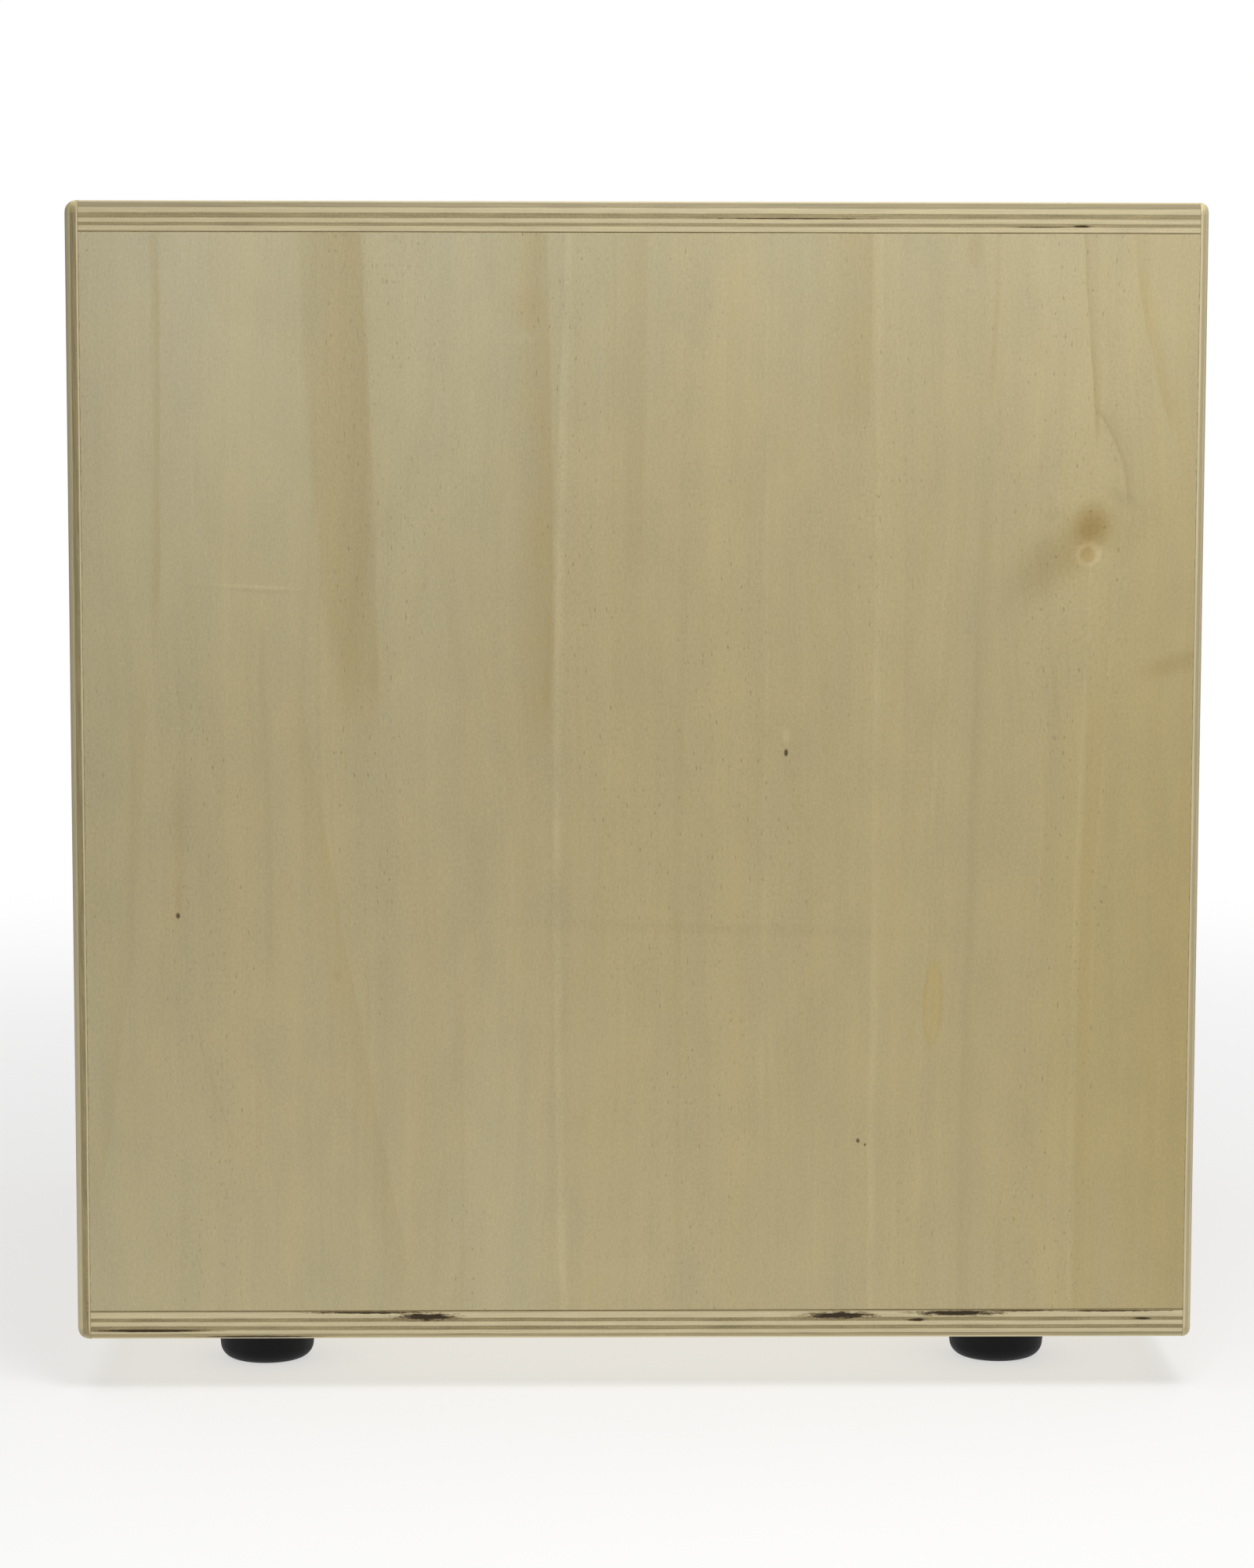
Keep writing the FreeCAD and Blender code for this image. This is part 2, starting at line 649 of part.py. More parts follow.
def channel(label, x):
    """A channel open at the top, with a bolt hole in its web and string holes in its front flange."""
    body = new_body(label)
    profile = sketch_on(body, "YZ_Plane", "-channel_length / 2")
    half, inner = "channel_width / 2", "(channel_width / 2 - plate_thick)"
    right = [(half, "0"), (half, "channel_height"), (inner, "channel_height"), (inner, "plate_thick")]
    outline(profile, right + [(f"-{y}", z) for y, z in reversed(right)])
    grow(body, "Pad", profile, "channel_length")
    ease(body, "Fillet", "channel_bend", lambda e: runs_along(e, X_AXIS) and near(middle(e).z, 0))
    web_hole = sketch_on(body, "XY_Plane")
    circle(web_hole, "0", "0", "bolt_hole_dia")
    grow(body, "Pocket", web_hole, "plate_thick + 0.5", backwards=True)
    flange_holes = sketch_on(body, "XZ_Plane", half)
    for side in ("-", ""):
        circle(flange_holes, f"{side}string_spread", "channel_hole_high", "string_hole_dia")
    grow(body, "Pocket", flange_holes, "plate_thick + 0.5")
    place(body, x, BOLT_Y, WEB_Z)
    keep(label, body)


def nut(label, x):
    """A hexagon nut that stands on the web, between the flanges."""
    body = new_body(label)
    sketch = sketch_on(body, "XY_Plane")
    hexagon(sketch, "nut_flats")
    circle(sketch, "0", "0", "nut_bore_dia")
    grow(body, "Pad", sketch, "nut_height")
    lies_flat = lambda e: isinstance(e.Curve, Part.Line) and not runs_along(e, Z_AXIS)
    ease(body, "Chamfer", "nut_arris", lies_flat)
    place(body, x, BOLT_Y, f"{WEB_Z} + plate_thick")
    keep(label, body)


def bolt(label, x):
    """A button-head bolt, its head underneath: z = 0 is the underside of the head against the washer."""
    shank, root = "bolt_dia / 2", "bolt_dia / 2 - bolt_thread_deep"
    start = "bolt_length - bolt_thread_length"
    rim = "bolt_head_dia / 2"
    corners = [("0", "-bolt_head_high"), (rim, "-bolt_head_high"), (rim, "0"), (shank, "0")]
    turns = int(size("bolt_thread_length / bolt_pitch"))
    for i in range(turns):
        corners.append((shank, f"{start} + {i} * bolt_pitch"))
        corners.append((root, f"{start} + ({i} + 0.5) * bolt_pitch"))
    corners += [(root, "bolt_length"), ("0", "bolt_length")]
    body = turned(label, corners)
    on_crown = lambda e: is_round(e, rim) and near(middle(e).z, size("-bolt_head_high"))
    ease(body, "Fillet", "bolt_head_round", on_crown)
    socket = sketch_on(body, "XY_Plane", "-bolt_head_high")
    hexagon(socket, "bolt_key")
    grow(body, "Pocket", socket, "bolt_key_deep", backwards=True)
    place(body, x, BOLT_Y, f"{BASE} - washer_thick")
    keep(label, body)


def snare_string(label, x):
    """One string: back through the rail, down behind the tapa, and back through its channel."""
    body = new_body(label)
    path = sketch_on(body, "YZ_Plane")
    y_top, y_low = f"{ANCHOR_BACK} + string_stub", f"{CHANNEL_FRONT} + plate_thick + string_stub"
    y, high, low, bend = (size(text) for text in (STRING_Y, STRING_TOP_Z, STRING_LOW_Z, "string_bend"))
    upper = path.addGeometry(Part.LineSegment(Vector(size(y_top), high, 0), Vector(y + bend, high, 0)), False)
    run = path.addGeometry(Part.LineSegment(Vector(y, high - bend, 0), Vector(y, low + bend, 0)), False)
    lower = path.addGeometry(Part.LineSegment(Vector(y + bend, low, 0), Vector(size(y_low), low, 0)), False)
    for first, second, centre_z, turn in ((upper, run, high - bend, 1), (run, lower, low + bend, 2)):
        ring_line = Part.Circle(Vector(y + bend, centre_z, 0), Vector(0, 0, 1), bend)
        quarter = Part.ArcOfCircle(ring_line, turn * 1.5707963, (turn + 1) * 1.5707963)
        arc = path.addGeometry(quarter, False)
        path.addConstraint(Sketcher.Constraint("Tangent", first, 2, arc, 1))
        path.addConstraint(Sketcher.Constraint("Tangent", second, 1, arc, 2))
        held = path.addConstraint(Sketcher.Constraint("Radius", arc, bend))
        bind(path, f"Constraints[{held}]", "string_bend")
    path.addConstraint(Sketcher.Constraint("Horizontal", upper))
    path.addConstraint(Sketcher.Constraint("Vertical", run))
    path.addConstraint(Sketcher.Constraint("Horizontal", lower))
    tie(path, upper, 1, y_top, STRING_TOP_Z)
    tie(path, lower, 2, y_low, STRING_LOW_Z)
    held = path.addConstraint(Sketcher.Constraint("DistanceX", -1, 1, run, 1, y))
    bind(path, f"Constraints[{held}]", STRING_Y)
    section = sketch_on(body, "XZ_Plane", f"-({y_top})")
    circle(section, "0", STRING_TOP_Z, "string_dia")
    doc.recompute()
    pipe = body.newObject("PartDesign::AdditivePipe", "Pipe")
    pipe.Profile = section
    pipe.Spine = (path, [f"Edge{i}" for i in range(1, 6)])
    place(body, x, "0", "0")
    keep(label, body)


for side_name, side_sign in (("left", "-"), ("right", "")):
    middle_x = f"{side_sign}channel_offset"
    channel(f"tension_channel_{side_name}", middle_x)
    nut(f"tension_nut_{side_name}", middle_x)
    bolt(f"tension_bolt_{side_name}", middle_x)
for string_name, string_x in STRING_PLACES.items():
    snare_string(f"string_{string_name}", string_x)

bolt_washer = ring("BoltWasher", "bolt_washer_dia", "bolt_hole_dia", "washer_thick")
bolt_washer_places = [(x, y, f"{BASE} - washer_thick") for x, y in BOLT_PLACES]
keep("bolt_washers", several("bolt_washers", bolt_washer, bolt_washer_places))

sleeve_bore = "(string_dia / 2 + sleeve_play)"
ball, waist = "ball_dia / 2", "ball_waist_dia / 2"
ball_end = turned(
    "BallEnd",
    [
        (sleeve_bore, "0"),
        (ball, "0"),
        (ball, "sleeve_length * 0.25"),
        (waist, "sleeve_length * 0.38"),
        (waist, "sleeve_length * 0.62"),
        (ball, "sleeve_length * 0.75"),
        (ball, "sleeve_length"),
        (sleeve_bore, "sleeve_length"),
    ],
)
ball_places = [(x, ANCHOR_BACK, STRING_TOP_Z) for x in STRING_PLACES.values()]
keep("ball_ends", several("ball_ends", ball_end, ball_places, FACE_OUT_BACK))

ferrule = ring("Ferrule", "ferrule_dia", f"2 * {sleeve_bore}", "sleeve_length")
for side_name in ("left", "right"):
    ferrule_places = [
        (x, f"{CHANNEL_FRONT} + plate_thick", STRING_LOW_Z)
        for name, x in STRING_PLACES.items()
        if name.endswith(side_name)
    ]
    label = f"ferrules_{side_name}"
    keep(label, several(label, ferrule, ferrule_places, FACE_OUT_BACK))

guide = slab(
    "guide_rail",
    ("-guide_length / 2", "guide_length / 2"),
    (f"{FRONT_IN} + batten_side", f"{FRONT_IN} + batten_side + guide_thick"),
    (FLOOR_IN, f"{FLOOR_IN} + guide_height"),
)
guide_top = size(f"{FLOOR_IN} + guide_height")
ease(guide, "Chamfer", "batten_arris", lambda e: runs_along(e, X_AXIS) and near(middle(e).z, guide_top))
keep("guide_rail", guide)


# Every object must have been made, and every sub-part must be sound, before anything is written.
doc.recompute()
for thing in doc.Objects:
    if "Invalid" in thing.State or "Error" in thing.State:
        raise RuntimeError(f"{thing.Label} could not be made: {thing.State}")
for label, thing in nodes.items():
    if thing.Shape.isNull() or not thing.Shape.isValid():
        raise RuntimeError(f"{label} has no sound shape")
os.makedirs("parts", exist_ok=True)
for label, thing in nodes.items():
    thing.Shape.exportStep(f"parts/{label}.step")
    print(f"{label}: {len(thing.Shape.Solids)} solid(s), {thing.Shape.Volume:.1f} mm3")
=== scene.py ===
"""Looks of a compact snare cajon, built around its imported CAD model.

The frame is in metres: +Z up, -Y the front with the tapa, +X the side that the camera faces. The wood
is drawn from places in millimetres, so that plies, grain and marks have their real size.
"""

import math

import bmesh
import bpy
from mathutils import Matrix, Vector


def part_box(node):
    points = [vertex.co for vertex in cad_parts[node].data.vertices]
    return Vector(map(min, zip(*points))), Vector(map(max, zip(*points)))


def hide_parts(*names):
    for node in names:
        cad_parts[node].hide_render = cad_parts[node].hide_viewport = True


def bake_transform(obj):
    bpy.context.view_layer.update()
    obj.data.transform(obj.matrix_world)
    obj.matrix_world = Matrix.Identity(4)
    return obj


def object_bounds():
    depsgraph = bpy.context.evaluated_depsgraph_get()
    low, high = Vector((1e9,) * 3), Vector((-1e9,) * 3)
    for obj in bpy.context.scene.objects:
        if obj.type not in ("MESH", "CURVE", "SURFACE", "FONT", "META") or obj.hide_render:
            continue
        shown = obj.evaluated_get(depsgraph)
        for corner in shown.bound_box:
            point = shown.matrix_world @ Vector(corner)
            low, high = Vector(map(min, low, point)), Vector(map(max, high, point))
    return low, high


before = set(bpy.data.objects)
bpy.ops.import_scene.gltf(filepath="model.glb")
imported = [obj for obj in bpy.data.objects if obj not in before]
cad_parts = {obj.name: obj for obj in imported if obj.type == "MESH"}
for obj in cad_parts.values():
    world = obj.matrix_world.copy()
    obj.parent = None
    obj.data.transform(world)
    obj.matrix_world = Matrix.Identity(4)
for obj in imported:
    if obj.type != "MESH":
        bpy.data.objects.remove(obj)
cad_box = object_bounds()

MM = 0.001
X, Y, Z = 0, 1, 2


# Short words for building shader node trees.


class Graph:
    """A shader node tree, with short calls for the nodes it is made from."""

    def __init__(self, tree):
        self.tree = tree

    def add(self, kind, **settings):
        """A new node, with its settings."""
        node = self.tree.nodes.new(kind)
        for key, value in settings.items():
            setattr(node, key, value)
        return node

    def put(self, socket, value):
        """Links a socket to another, or sets it to a value."""
        if isinstance(value, bpy.types.NodeSocket):
            self.tree.links.new(value, socket)
        elif socket.type == "RGBA":
            socket.default_value = (*value[:3], 1)
        else:
            socket.default_value = value

    def calc(self, operation, *values):
        """The result of one math node."""
        node = self.add("ShaderNodeMath", operation=operation)
        for socket, value in zip(node.inputs, values):
            self.put(socket, value)
        return node.outputs[0]

    def plus(self, first, *others):
        for other in others:
            first = self.calc("ADD", first, other)
        return first

    def times(self, first, *others):
        for other in others:
            first = self.calc("MULTIPLY", first, other)
        return first

    def blend(self, *weighted):
        """A sum of (value, weight) pairs, and of plain numbers."""
        total = float(sum(item for item in weighted if not isinstance(item, tuple)))
        for value, weight in [item for item in weighted if isinstance(item, tuple)]:
            total = self.calc("MULTIPLY_ADD", value, weight, total)
        return total

    def less(self, a, b):
        """a less b."""
        return self.calc("SUBTRACT", a, b)

    def vector(self, x=0.0, y=0.0, z=0.0):
        node = self.add("ShaderNodeCombineXYZ")
        for socket, value in zip(node.inputs, (x, y, z)):
            self.put(socket, value)
        return node.outputs[0]

    def split(self, vector):
        node = self.add("ShaderNodeSeparateXYZ")
        self.put(node.inputs[0], vector)
        return list(node.outputs)

    def noise(self, x, y, z=None, detail=2.0, rough=0.5):
        """Smooth noise about 0, mostly from -0.3 to 0.3, of two or three values."""
        node = self.add("ShaderNodeTexNoise", noise_dimensions="2D" if z is None else "3D")
        self.put(node.inputs["Vector"], self.vector(x, y, 0.0 if z is None else z))
        node.inputs["Scale"].default_value = 1.0
        node.inputs["Detail"].default_value = detail
        node.inputs["Roughness"].default_value = rough
        return self.plus(node.outputs[0], -0.5)

    def step(self, value, low, high):
        """0 below low, 1 above high and smooth between; the other way round if low is above high."""
        node = self.add("ShaderNodeMapRange", interpolation_type="SMOOTHSTEP")
        linked = any(isinstance(end, bpy.types.NodeSocket) for end in (low, high))
        falls = not linked and low > high
        ends = (high, low, 1.0, 0.0) if falls else (low, high, 0.0, 1.0)
        self.put(node.inputs["Value"], value)
        for name, end in zip(("From Min", "From Max", "To Min", "To Max"), ends):
            self.put(node.inputs[name], end)
        return node.outputs[0]

    def mix(self, amount, a, b, how="MIX", clamp=True):
        """Colour a with an amount of colour b mixed in."""
        node = self.add("ShaderNodeMix", data_type="RGBA", blend_type=how, clamp_factor=clamp)
        colours = [socket for socket in node.inputs if socket.type == "RGBA"]
        self.put(node.inputs[0], amount)
        self.put(colours[0], a)
        self.put(colours[1], b)
        return next(socket for socket in node.outputs if socket.type == "RGBA")

    def shade(self, colour, amount):
        """A colour made lighter by a positive amount and darker by a negative one."""
        factor = self.plus(amount, 1.0)
        return self.mix(1.0, colour, self.vector(factor, factor, factor), "MULTIPLY")

    def ramp(self, value, stops):
        """A value read from a list of (place, value) stops."""
        node = self.add("ShaderNodeValToRGB")
        self.put(node.inputs[0], value)
        elements = node.color_ramp.elements
        while len(elements) < len(stops):
            elements.new(0.5)
        for element, (place, level) in zip(elements, stops):
            element.position = place
            element.color = (level, level, level, 1)
        return node.outputs[0]

    def use(self, group, *values):
        """The outputs of a node group, given its inputs."""
        node = self.add("ShaderNodeGroup", node_tree=group)
        for socket, value in zip(node.inputs, values):
            self.put(socket, value)
        return list(node.outputs)

    def tally(self, mask, strength, amounts, totals):
        """Running sums, each with a mask's share of an amount added to it."""
        return [self.calc("MULTIPLY_ADD", mask, strength * amount, total) if amount else total
                for amount, total in zip(amounts, totals)]


def node_group(name, inputs, build):
    """A node group of plain numbers; build(graph, *inputs) returns its outputs."""
    tree = bpy.data.node_groups.new(name, "ShaderNodeTree")
    for word in inputs:
        tree.interface.new_socket(name=word, in_out="INPUT", socket_type="NodeSocketFloat")
    graph = Graph(tree)
    results = build(graph, *list(graph.add("NodeGroupInput").outputs)[:len(inputs)])
    for i in range(len(results)):
        tree.interface.new_socket(name=f"result {i}", in_out="OUTPUT", socket_type="NodeSocketFloat")
    end = graph.add("NodeGroupOutput")
    for socket, value in zip(end.inputs, results):
        graph.put(socket, value)
    return tree


ALL_EDGE, NO_EDGE = 0.80, 0.99


class Shader(Graph):
    """A material and its surface."""

    def __init__(self, name):
        self.material = bpy.data.materials.new(name)
        self.material.use_nodes = True
        super().__init__(self.material.node_tree)
        self.tree.nodes.clear()
        self.output = self.add("ShaderNodeOutputMaterial")
        self.coordinates = self.add("ShaderNodeTexCoord")

    def place_mm(self):
        """The point being drawn, in millimetres in the frame, as three values."""
        node = self.add("ShaderNodeVectorMath", operation="SCALE")
        self.put(node.inputs[0], self.coordinates.outputs["Object"])
        node.inputs["Scale"].default_value = 1 / MM
        return self.split(node.outputs[0])

    def facing(self):
        """How far the surface faces along each axis, 0 to 1."""
        normal = self.split(self.coordinates.outputs["Normal"])
        return [self.calc("ABSOLUTE", part) for part in normal]

    def worn_edge(self, radius_mm):
        """1 on a sharp edge, 0 away from it, and a normal that rounds the edge off."""
        bevel = self.add("ShaderNodeBevel", samples=4)
        bevel.inputs["Radius"].default_value = radius_mm * MM
        dot = self.add("ShaderNodeVectorMath", operation="DOT_PRODUCT")
        self.put(dot.inputs[0], bevel.outputs[0])
        self.put(dot.inputs[1], self.add("ShaderNodeNewGeometry").outputs["Normal"])
        return self.step(dot.outputs["Value"], NO_EDGE, ALL_EDGE), bevel.outputs[0]

    def surface(self, colour, roughness, height=None, bump_mm=0.03, normal=None, **extra):
        """A principled surface with a colour, roughness and bump."""
        node = self.add("ShaderNodeBsdfPrincipled")
        self.put(node.inputs["Base Color"], colour)
        self.put(node.inputs["Roughness"], roughness)
        for name, value in extra.items():
            self.put(node.inputs[name.replace("_", " ")], value)
        if height is not None:
            bump = self.add("ShaderNodeBump")
            bump.inputs["Distance"].default_value = bump_mm * MM
            self.put(bump.inputs["Height"], height)
            if normal is not None:
                self.put(bump.inputs["Normal"], normal)
            normal = bump.outputs[0]
        if normal is not None:
            self.put(node.inputs["Normal"], normal)
        return node.outputs[0]

    def between(self, amount, a, b):
        """Surface a with an amount of surface b."""
        node = self.add("ShaderNodeMixShader")
        for socket, value in zip(node.inputs, (amount, a, b)):
            self.put(socket, value)
        return node.outputs[0]

    def finish(self, surface, plain=None):
        """The material; bounced light may see one plain colour instead, which costs less to draw."""
        if plain:
            seen = self.add("ShaderNodeLightPath").outputs["Is Camera Ray"]
            surface = self.between(seen, self.surface(plain, 0.5), surface)
        self.put(self.output.inputs["Surface"], surface)
        return self.material


def wear(material, *nodes):
    """Gives CAD nodes a material."""
    for node in nodes:
        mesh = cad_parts[node].data
        mesh.materials.clear()
        mesh.materials.append(material)


def outside(node, axis, sign):
    """Where a node's outer face lies on an axis, in millimetres."""
    low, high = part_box(node)
    return (high if sign > 0 else low)[axis] / MM


# Veneer: a light, soft, rotary-cut wood. Its figure is three sums: from cool to warm, from dark to
# pale, and how brown it is. MEAN_VENEER is what bounced light sees of it.

COOL = (0.560, 0.494, 0.307)
WARM = (0.569, 0.456, 0.220)
MEAN_VENEER = (0.565, 0.473, 0.265)
RAW_EDGE = (0.71, 0.61, 0.37)
END_GRAIN = (0.37, 0.300, 0.150)
BROWN = (0.42, 0.290, 0.105)
# Glue between plies, and at joints between pieces, where it also stands for painted shadow of the
# groove there.
GLUE_AND_SHADOW = (0.20, 0.150, 0.065)
TORN = (0.26, 0.185, 0.085)
VOID = (0.045, 0.028, 0.010)

# The box's middle height and half depth, in millimetres. The veneer's warmth drifts over them: cooler
# and a little paler towards the top and bottom, which is painted sheen of the lamp overhead and the
# floor, and warmer towards the back.
MIDDLE_Z = (outside("bottom_board", Z, -1) + outside("top_board", Z, 1)) / 2
HALF_DEPTH = (cad_box[1].y - cad_box[0].y) / 2 / MM

# How dark the lines are between pieces, partly glue and partly painted shadow of the groove there, and
# the glue lines between plies; half widths in millimetres of the line between two plies, and of the
# change from one to the other; and how far a surface has to face along a board's thickness to be all
# veneer, or all cut plies.
SEAM_DARKNESS = 0.55
PLY_LINE_DARKNESS = 0.30
PLY_LINE = 0.17
PLY_CHANGE = 0.08
ALL_FACE, ALL_PLIES = 0.97, 0.82
WOOD_BUMP_MM = 0.03

# What each tint adds to the sums of warmth, tone and brownness.
TINTS = {
    "warm": (0.22, -0.05, 0.035),
    "amber": (0.50, -0.02, 0.02),
    "cool": (-0.11, 0.03, 0.0),
    "pale": (-0.08, 0.08, 0.0),
    "dark": (0.03, -0.10, 0.03),
    "brown": (0.10, -0.04, 0.50),
    "hole": (0.0, -0.70, 0.30),
}

# Streaks in the right side's veneer: tint, strength, the heights that it runs between, where it lies
# at its low end, middle and top, and how far it fades towards the front and towards the back.
SIDE_STREAKS = (
    ("warm", 1.3, (200, 334), (-126.8, -125.8, -126.5), (2.5, 1.0)),
    ("warm", 0.5, (40, 200), (-146.0, -134.5, -129.8), (6.0, 0.8)),
    ("warm", 0.9, (172, 336), (-68.5, -70.3, -75.0), (19.0, 0.9)),
    ("dark", 0.35, (186, 240), (-68.9, -69.5, -70.6), (3.5, 0.8)),
    ("warm", 0.6, (22, 196), (-59.0, -75.5, -90.0), (9.0, 0.8)),
    ("warm", 1.2, (165, 336), (-23.2, -22.8, -25.6), (12.0, 1.0)),
    ("brown", 0.25, (184, 212), (-23.4, -23.3, -23.2), (1.6, 0.7)),
    ("pale", 1.0, (-20, 350), (-18.4, -21.3, -16.6), (1.2, 2.4)),
    ("brown", 0.12, (222, 322), (-6.2, -6.0, -5.8), (1.2, 0.8)),
    ("warm", 0.7, (215, 322), (1.0, 1.0, 1.5), (7.0, 2.5)),
    ("warm", 0.9, (255, 330), (60.5, 61.2, 61.5), (16.0, 1.0)),
    ("pale", 0.6, (-20, 350), (62.6, 63.6, 63.2), (1.4, 1.8)),
    ("brown", 0.25, (262, 322), (92.8, 94.6, 95.0), (1.6, 0.9)),
    ("dark", 0.45, (0, 268), (88.2, 88.8, 93.0), (2.0, 4.5)),
    ("pale", 0.35, (30, 250), (75.2, 78.0, 83.5), (1.2, 1.2)),
    ("dark", 0.60, (250, 345), (121.8, 118.2, 114.8), (0.5, 7.0)),
    ("warm", 1.00, (250, 345), (121.8, 118.2, 114.8), (0.5, 1.6)),
    ("dark", 0.55, (238, 266), (129.6, 127.6, 119.6), (0.6, 6.0)),
    ("warm", 0.90, (238, 266), (129.6, 127.6, 119.6), (0.5, 1.4)),
    ("warm", 0.9, (255, 335), (142.0, 132.5, 128.6), (0.8, 5.0)),
    ("warm", 0.6, (-10, 205), (118.2, 118.6, 120.8), (0.9, 9.0)),
    ("pale", 0.4, (-10, 290), (117.0, 117.4, 124.0), (0.8, 0.9)),
    ("pale", 0.3, (20, 250), (122.0, 122.4, 130.0), (0.8, 0.9)),
    ("dark", 0.3, (122, 212), (109.0, 109.6, 113.0), (1.2, 8.0)),
    ("dark", 0.40, (110, 214), (-96.8, -98.0, -99.0), (2.8, 2.2)),
    ("dark", 0.25, (74, 120), (-79.8, -79.8, -79.4), (3.0, 1.0)),
    ("warm", 0.6, (10, 112), (-46.5, -46.2, -46.6), (1.2, 0.7)),
    ("warm", 0.6, (66, 106), (-106.6, -113.6, -117.6), (0.7, 0.7)),
    ("pale", 0.30, (40, 330), (33.0, 34.5, 33.5), (1.2, 0.9)),
    ("dark", 0.30, (0, 240), (13.0, 11.5, 13.5), (3.0, 0.9)),
)

# Soft patches in it: tint, strength, middle (y, z), half width and half height, tilt in degrees, and
# softness. The pale and cool ones at the top front and top back corners are painted sheen, and the
# broad dark one over the middle is painted shade.
SIDE_PATCHES = (
    ("warm", 0.8, (-80.0, 300), (8.6, 112), 2, 0.13),
    # Painted sheen: these two make the top front corner cooler and paler.
    ("cool", 0.9, (-116, 275), (30, 70), 0, 0.9),
    ("pale", 0.6, (-112, 290), (22, 60), 0, 0.9),
    ("cool", 0.7, (-52, 278), (16, 60), 0, 0.8),
    ("pale", 0.3, (-52, 282), (15, 50), 0, 0.9),
    ("cool", 0.5, (-58, 190), (9, 50), 4, 0.6),
    ("cool", 0.8, (-36, 50), (11, 62), 0, 0.7),
    ("pale", 0.35, (-38, 46), (11, 48), 0, 0.8),
    ("dark", 0.35, (-125, 160), (30, 60), 0, 0.9),
    # Painted sheen: these two make the top back corner paler.
    ("pale", 0.5, (108, 290), (15, 44), 4, 0.7),
    ("pale", 0.4, (131, 290), (16, 40), 0, 0.8),
    ("amber", 0.45, (154, 105), (24, 95), 0, 0.95),
    ("amber", 0.40, (156, 40), (20, 60), 0, 0.95),
    ("amber", 0.20, (128, 80), (34, 80), 0, 0.95),
    ("dark", 0.35, (152, 120), (30, 90), 0, 0.95),
    ("brown", 0.50, (143, 196.8), (8.5, 2.4), 16, 0.8),
    ("brown", 0.30, (88.7, 305.6), (2.0, 4.2), 0, 0.35),
    ("brown", 0.16, (-29.5, 290.8), (4.4, 4.2), 0, 0.7),
    ("pale", 0.5, (-29.5, 282.4), (3.0, 1.4), 0, 0.6),
    ("brown", 1.25, (120.2, 233.2), (4.0, 4.6), -8, 0.80),
    ("brown", 0.55, (113.5, 227.0), (13.0, 5.0), 45, 0.90),
    ("brown", 0.22, (127.0, 230.0), (11.0, 5.0), 35, 0.9),
    ("dark", 0.55, (108.0, 224.0), (13.0, 6.0), 38, 0.85),
    ("dark", 0.60, (110.6, 236.3), (2.4, 1.6), 10, 0.7),
    ("dark", 0.60, (128.2, 240.8), (5.0, 1.6), -35, 0.8),
    ("pale", 2.3, (119.6, 225.9), (3.3, 3.2), 0, 0.25),
    ("brown", 0.95, (119.3, 225.5), (2.0, 2.1), 20, 0.35),
    ("pale", 0.6, (124.5, 224.8), (3.0, 1.8), -30, 0.8),
    ("amber", 1.0, (79.3, 105.7), (2.7, 11.8), -2, 0.16),
    ("pale", 0.8, (79.3, 105.7), (1.9, 10.6), -2, 0.25),
    ("pale", 1.1, (-99.8, 217.0), (8.9, 0.45), -3, 0.8),
    ("dark", 0.6, (-99.0, 215.8), (8.6, 0.50), -3, 0.8),
    ("dark", 0.38, (18.5, 125.9), (45.0, 1.5), -1.6, 0.9),
    ("brown", 0.30, (-121.4, 152.0), (1.7, 17.0), -1, 0.9),
    ("brown", 0.25, (-121.7, 133.0), (1.1, 5.0), 0, 0.9),
    ("brown", 0.30, (-79.7, 113.1), (1.0, 1.0), 0, 0.6),
    ("pale", 1.4, (39.7, 177.4), (0.9, 1.9), 0, 0.6),
    # Painted shade: a broad darker middle of the side.
    ("dark", 0.45, (0, 195), (62, 75), 0, 0.95),
)

# Pin-sized holes in it: middle (y, z), half width and half height.
SIDE_PINS = (
    ((-121.9, 129.4), (0.55, 0.75)),
    ((39.7, 173.0), (0.50, 0.95)),
    ((59.7, 68.4), (0.45, 0.60)),
    ((61.6, 67.3), (0.25, 0.40)),
)


STREAK_CREST = 0.05
STREAK_ENDS = 0.72


def streak(g, across, along, low, high, start, middle, end, front, back):
    """1 on a curve that runs along the grain, fading to either side of it and at its ends."""
    reach = g.less(high, low)
    t = g.calc("DIVIDE", g.less(g.times(along, 2), g.plus(low, high)), reach)
    curve = g.less(g.times(g.plus(start, end), 0.5), middle)
    slope = g.times(g.less(end, start), 0.5)
    path = g.calc("MULTIPLY_ADD", g.calc("MULTIPLY_ADD", t, curve, slope), t, middle)
    aside = g.less(across, path)
    ahead = g.step(aside, g.times(front, -1), -STREAK_CREST)
    behind = g.less(1.0, g.step(aside, -STREAK_CREST, back))
    within = g.step(g.calc("ABSOLUTE", t), 1.0, STREAK_ENDS)
    return [g.times(ahead, behind, within)]


def oval(g, across, along, y, z, half_y, half_z, tilt, soft):
    """1 inside a soft oval, and how far out from its middle: 1 on its rim."""
    angle = g.times(tilt, math.pi / 180)
    cosine, sine = g.calc("COSINE", angle), g.calc("SINE", angle)

    def squared(by_across, by_along, half):
        middle = g.plus(g.times(y, by_across), g.times(z, by_along))
        offset = g.calc("DIVIDE", g.times(middle, -1), half)
        part = g.calc("MULTIPLY_ADD", across, g.calc("DIVIDE", by_across, half), offset)
        part = g.calc("MULTIPLY_ADD", along, g.calc("DIVIDE", by_along, half), part)
        return g.times(part, part)

    width_share = squared(cosine, sine, half_y)
    height_share = squared(g.times(sine, -1), cosine, half_z)
    distance = g.calc("SQRT", g.plus(width_share, height_share))
    return [g.less(1.0, g.step(distance, g.less(1.0, soft), g.plus(1.0, soft))), distance]


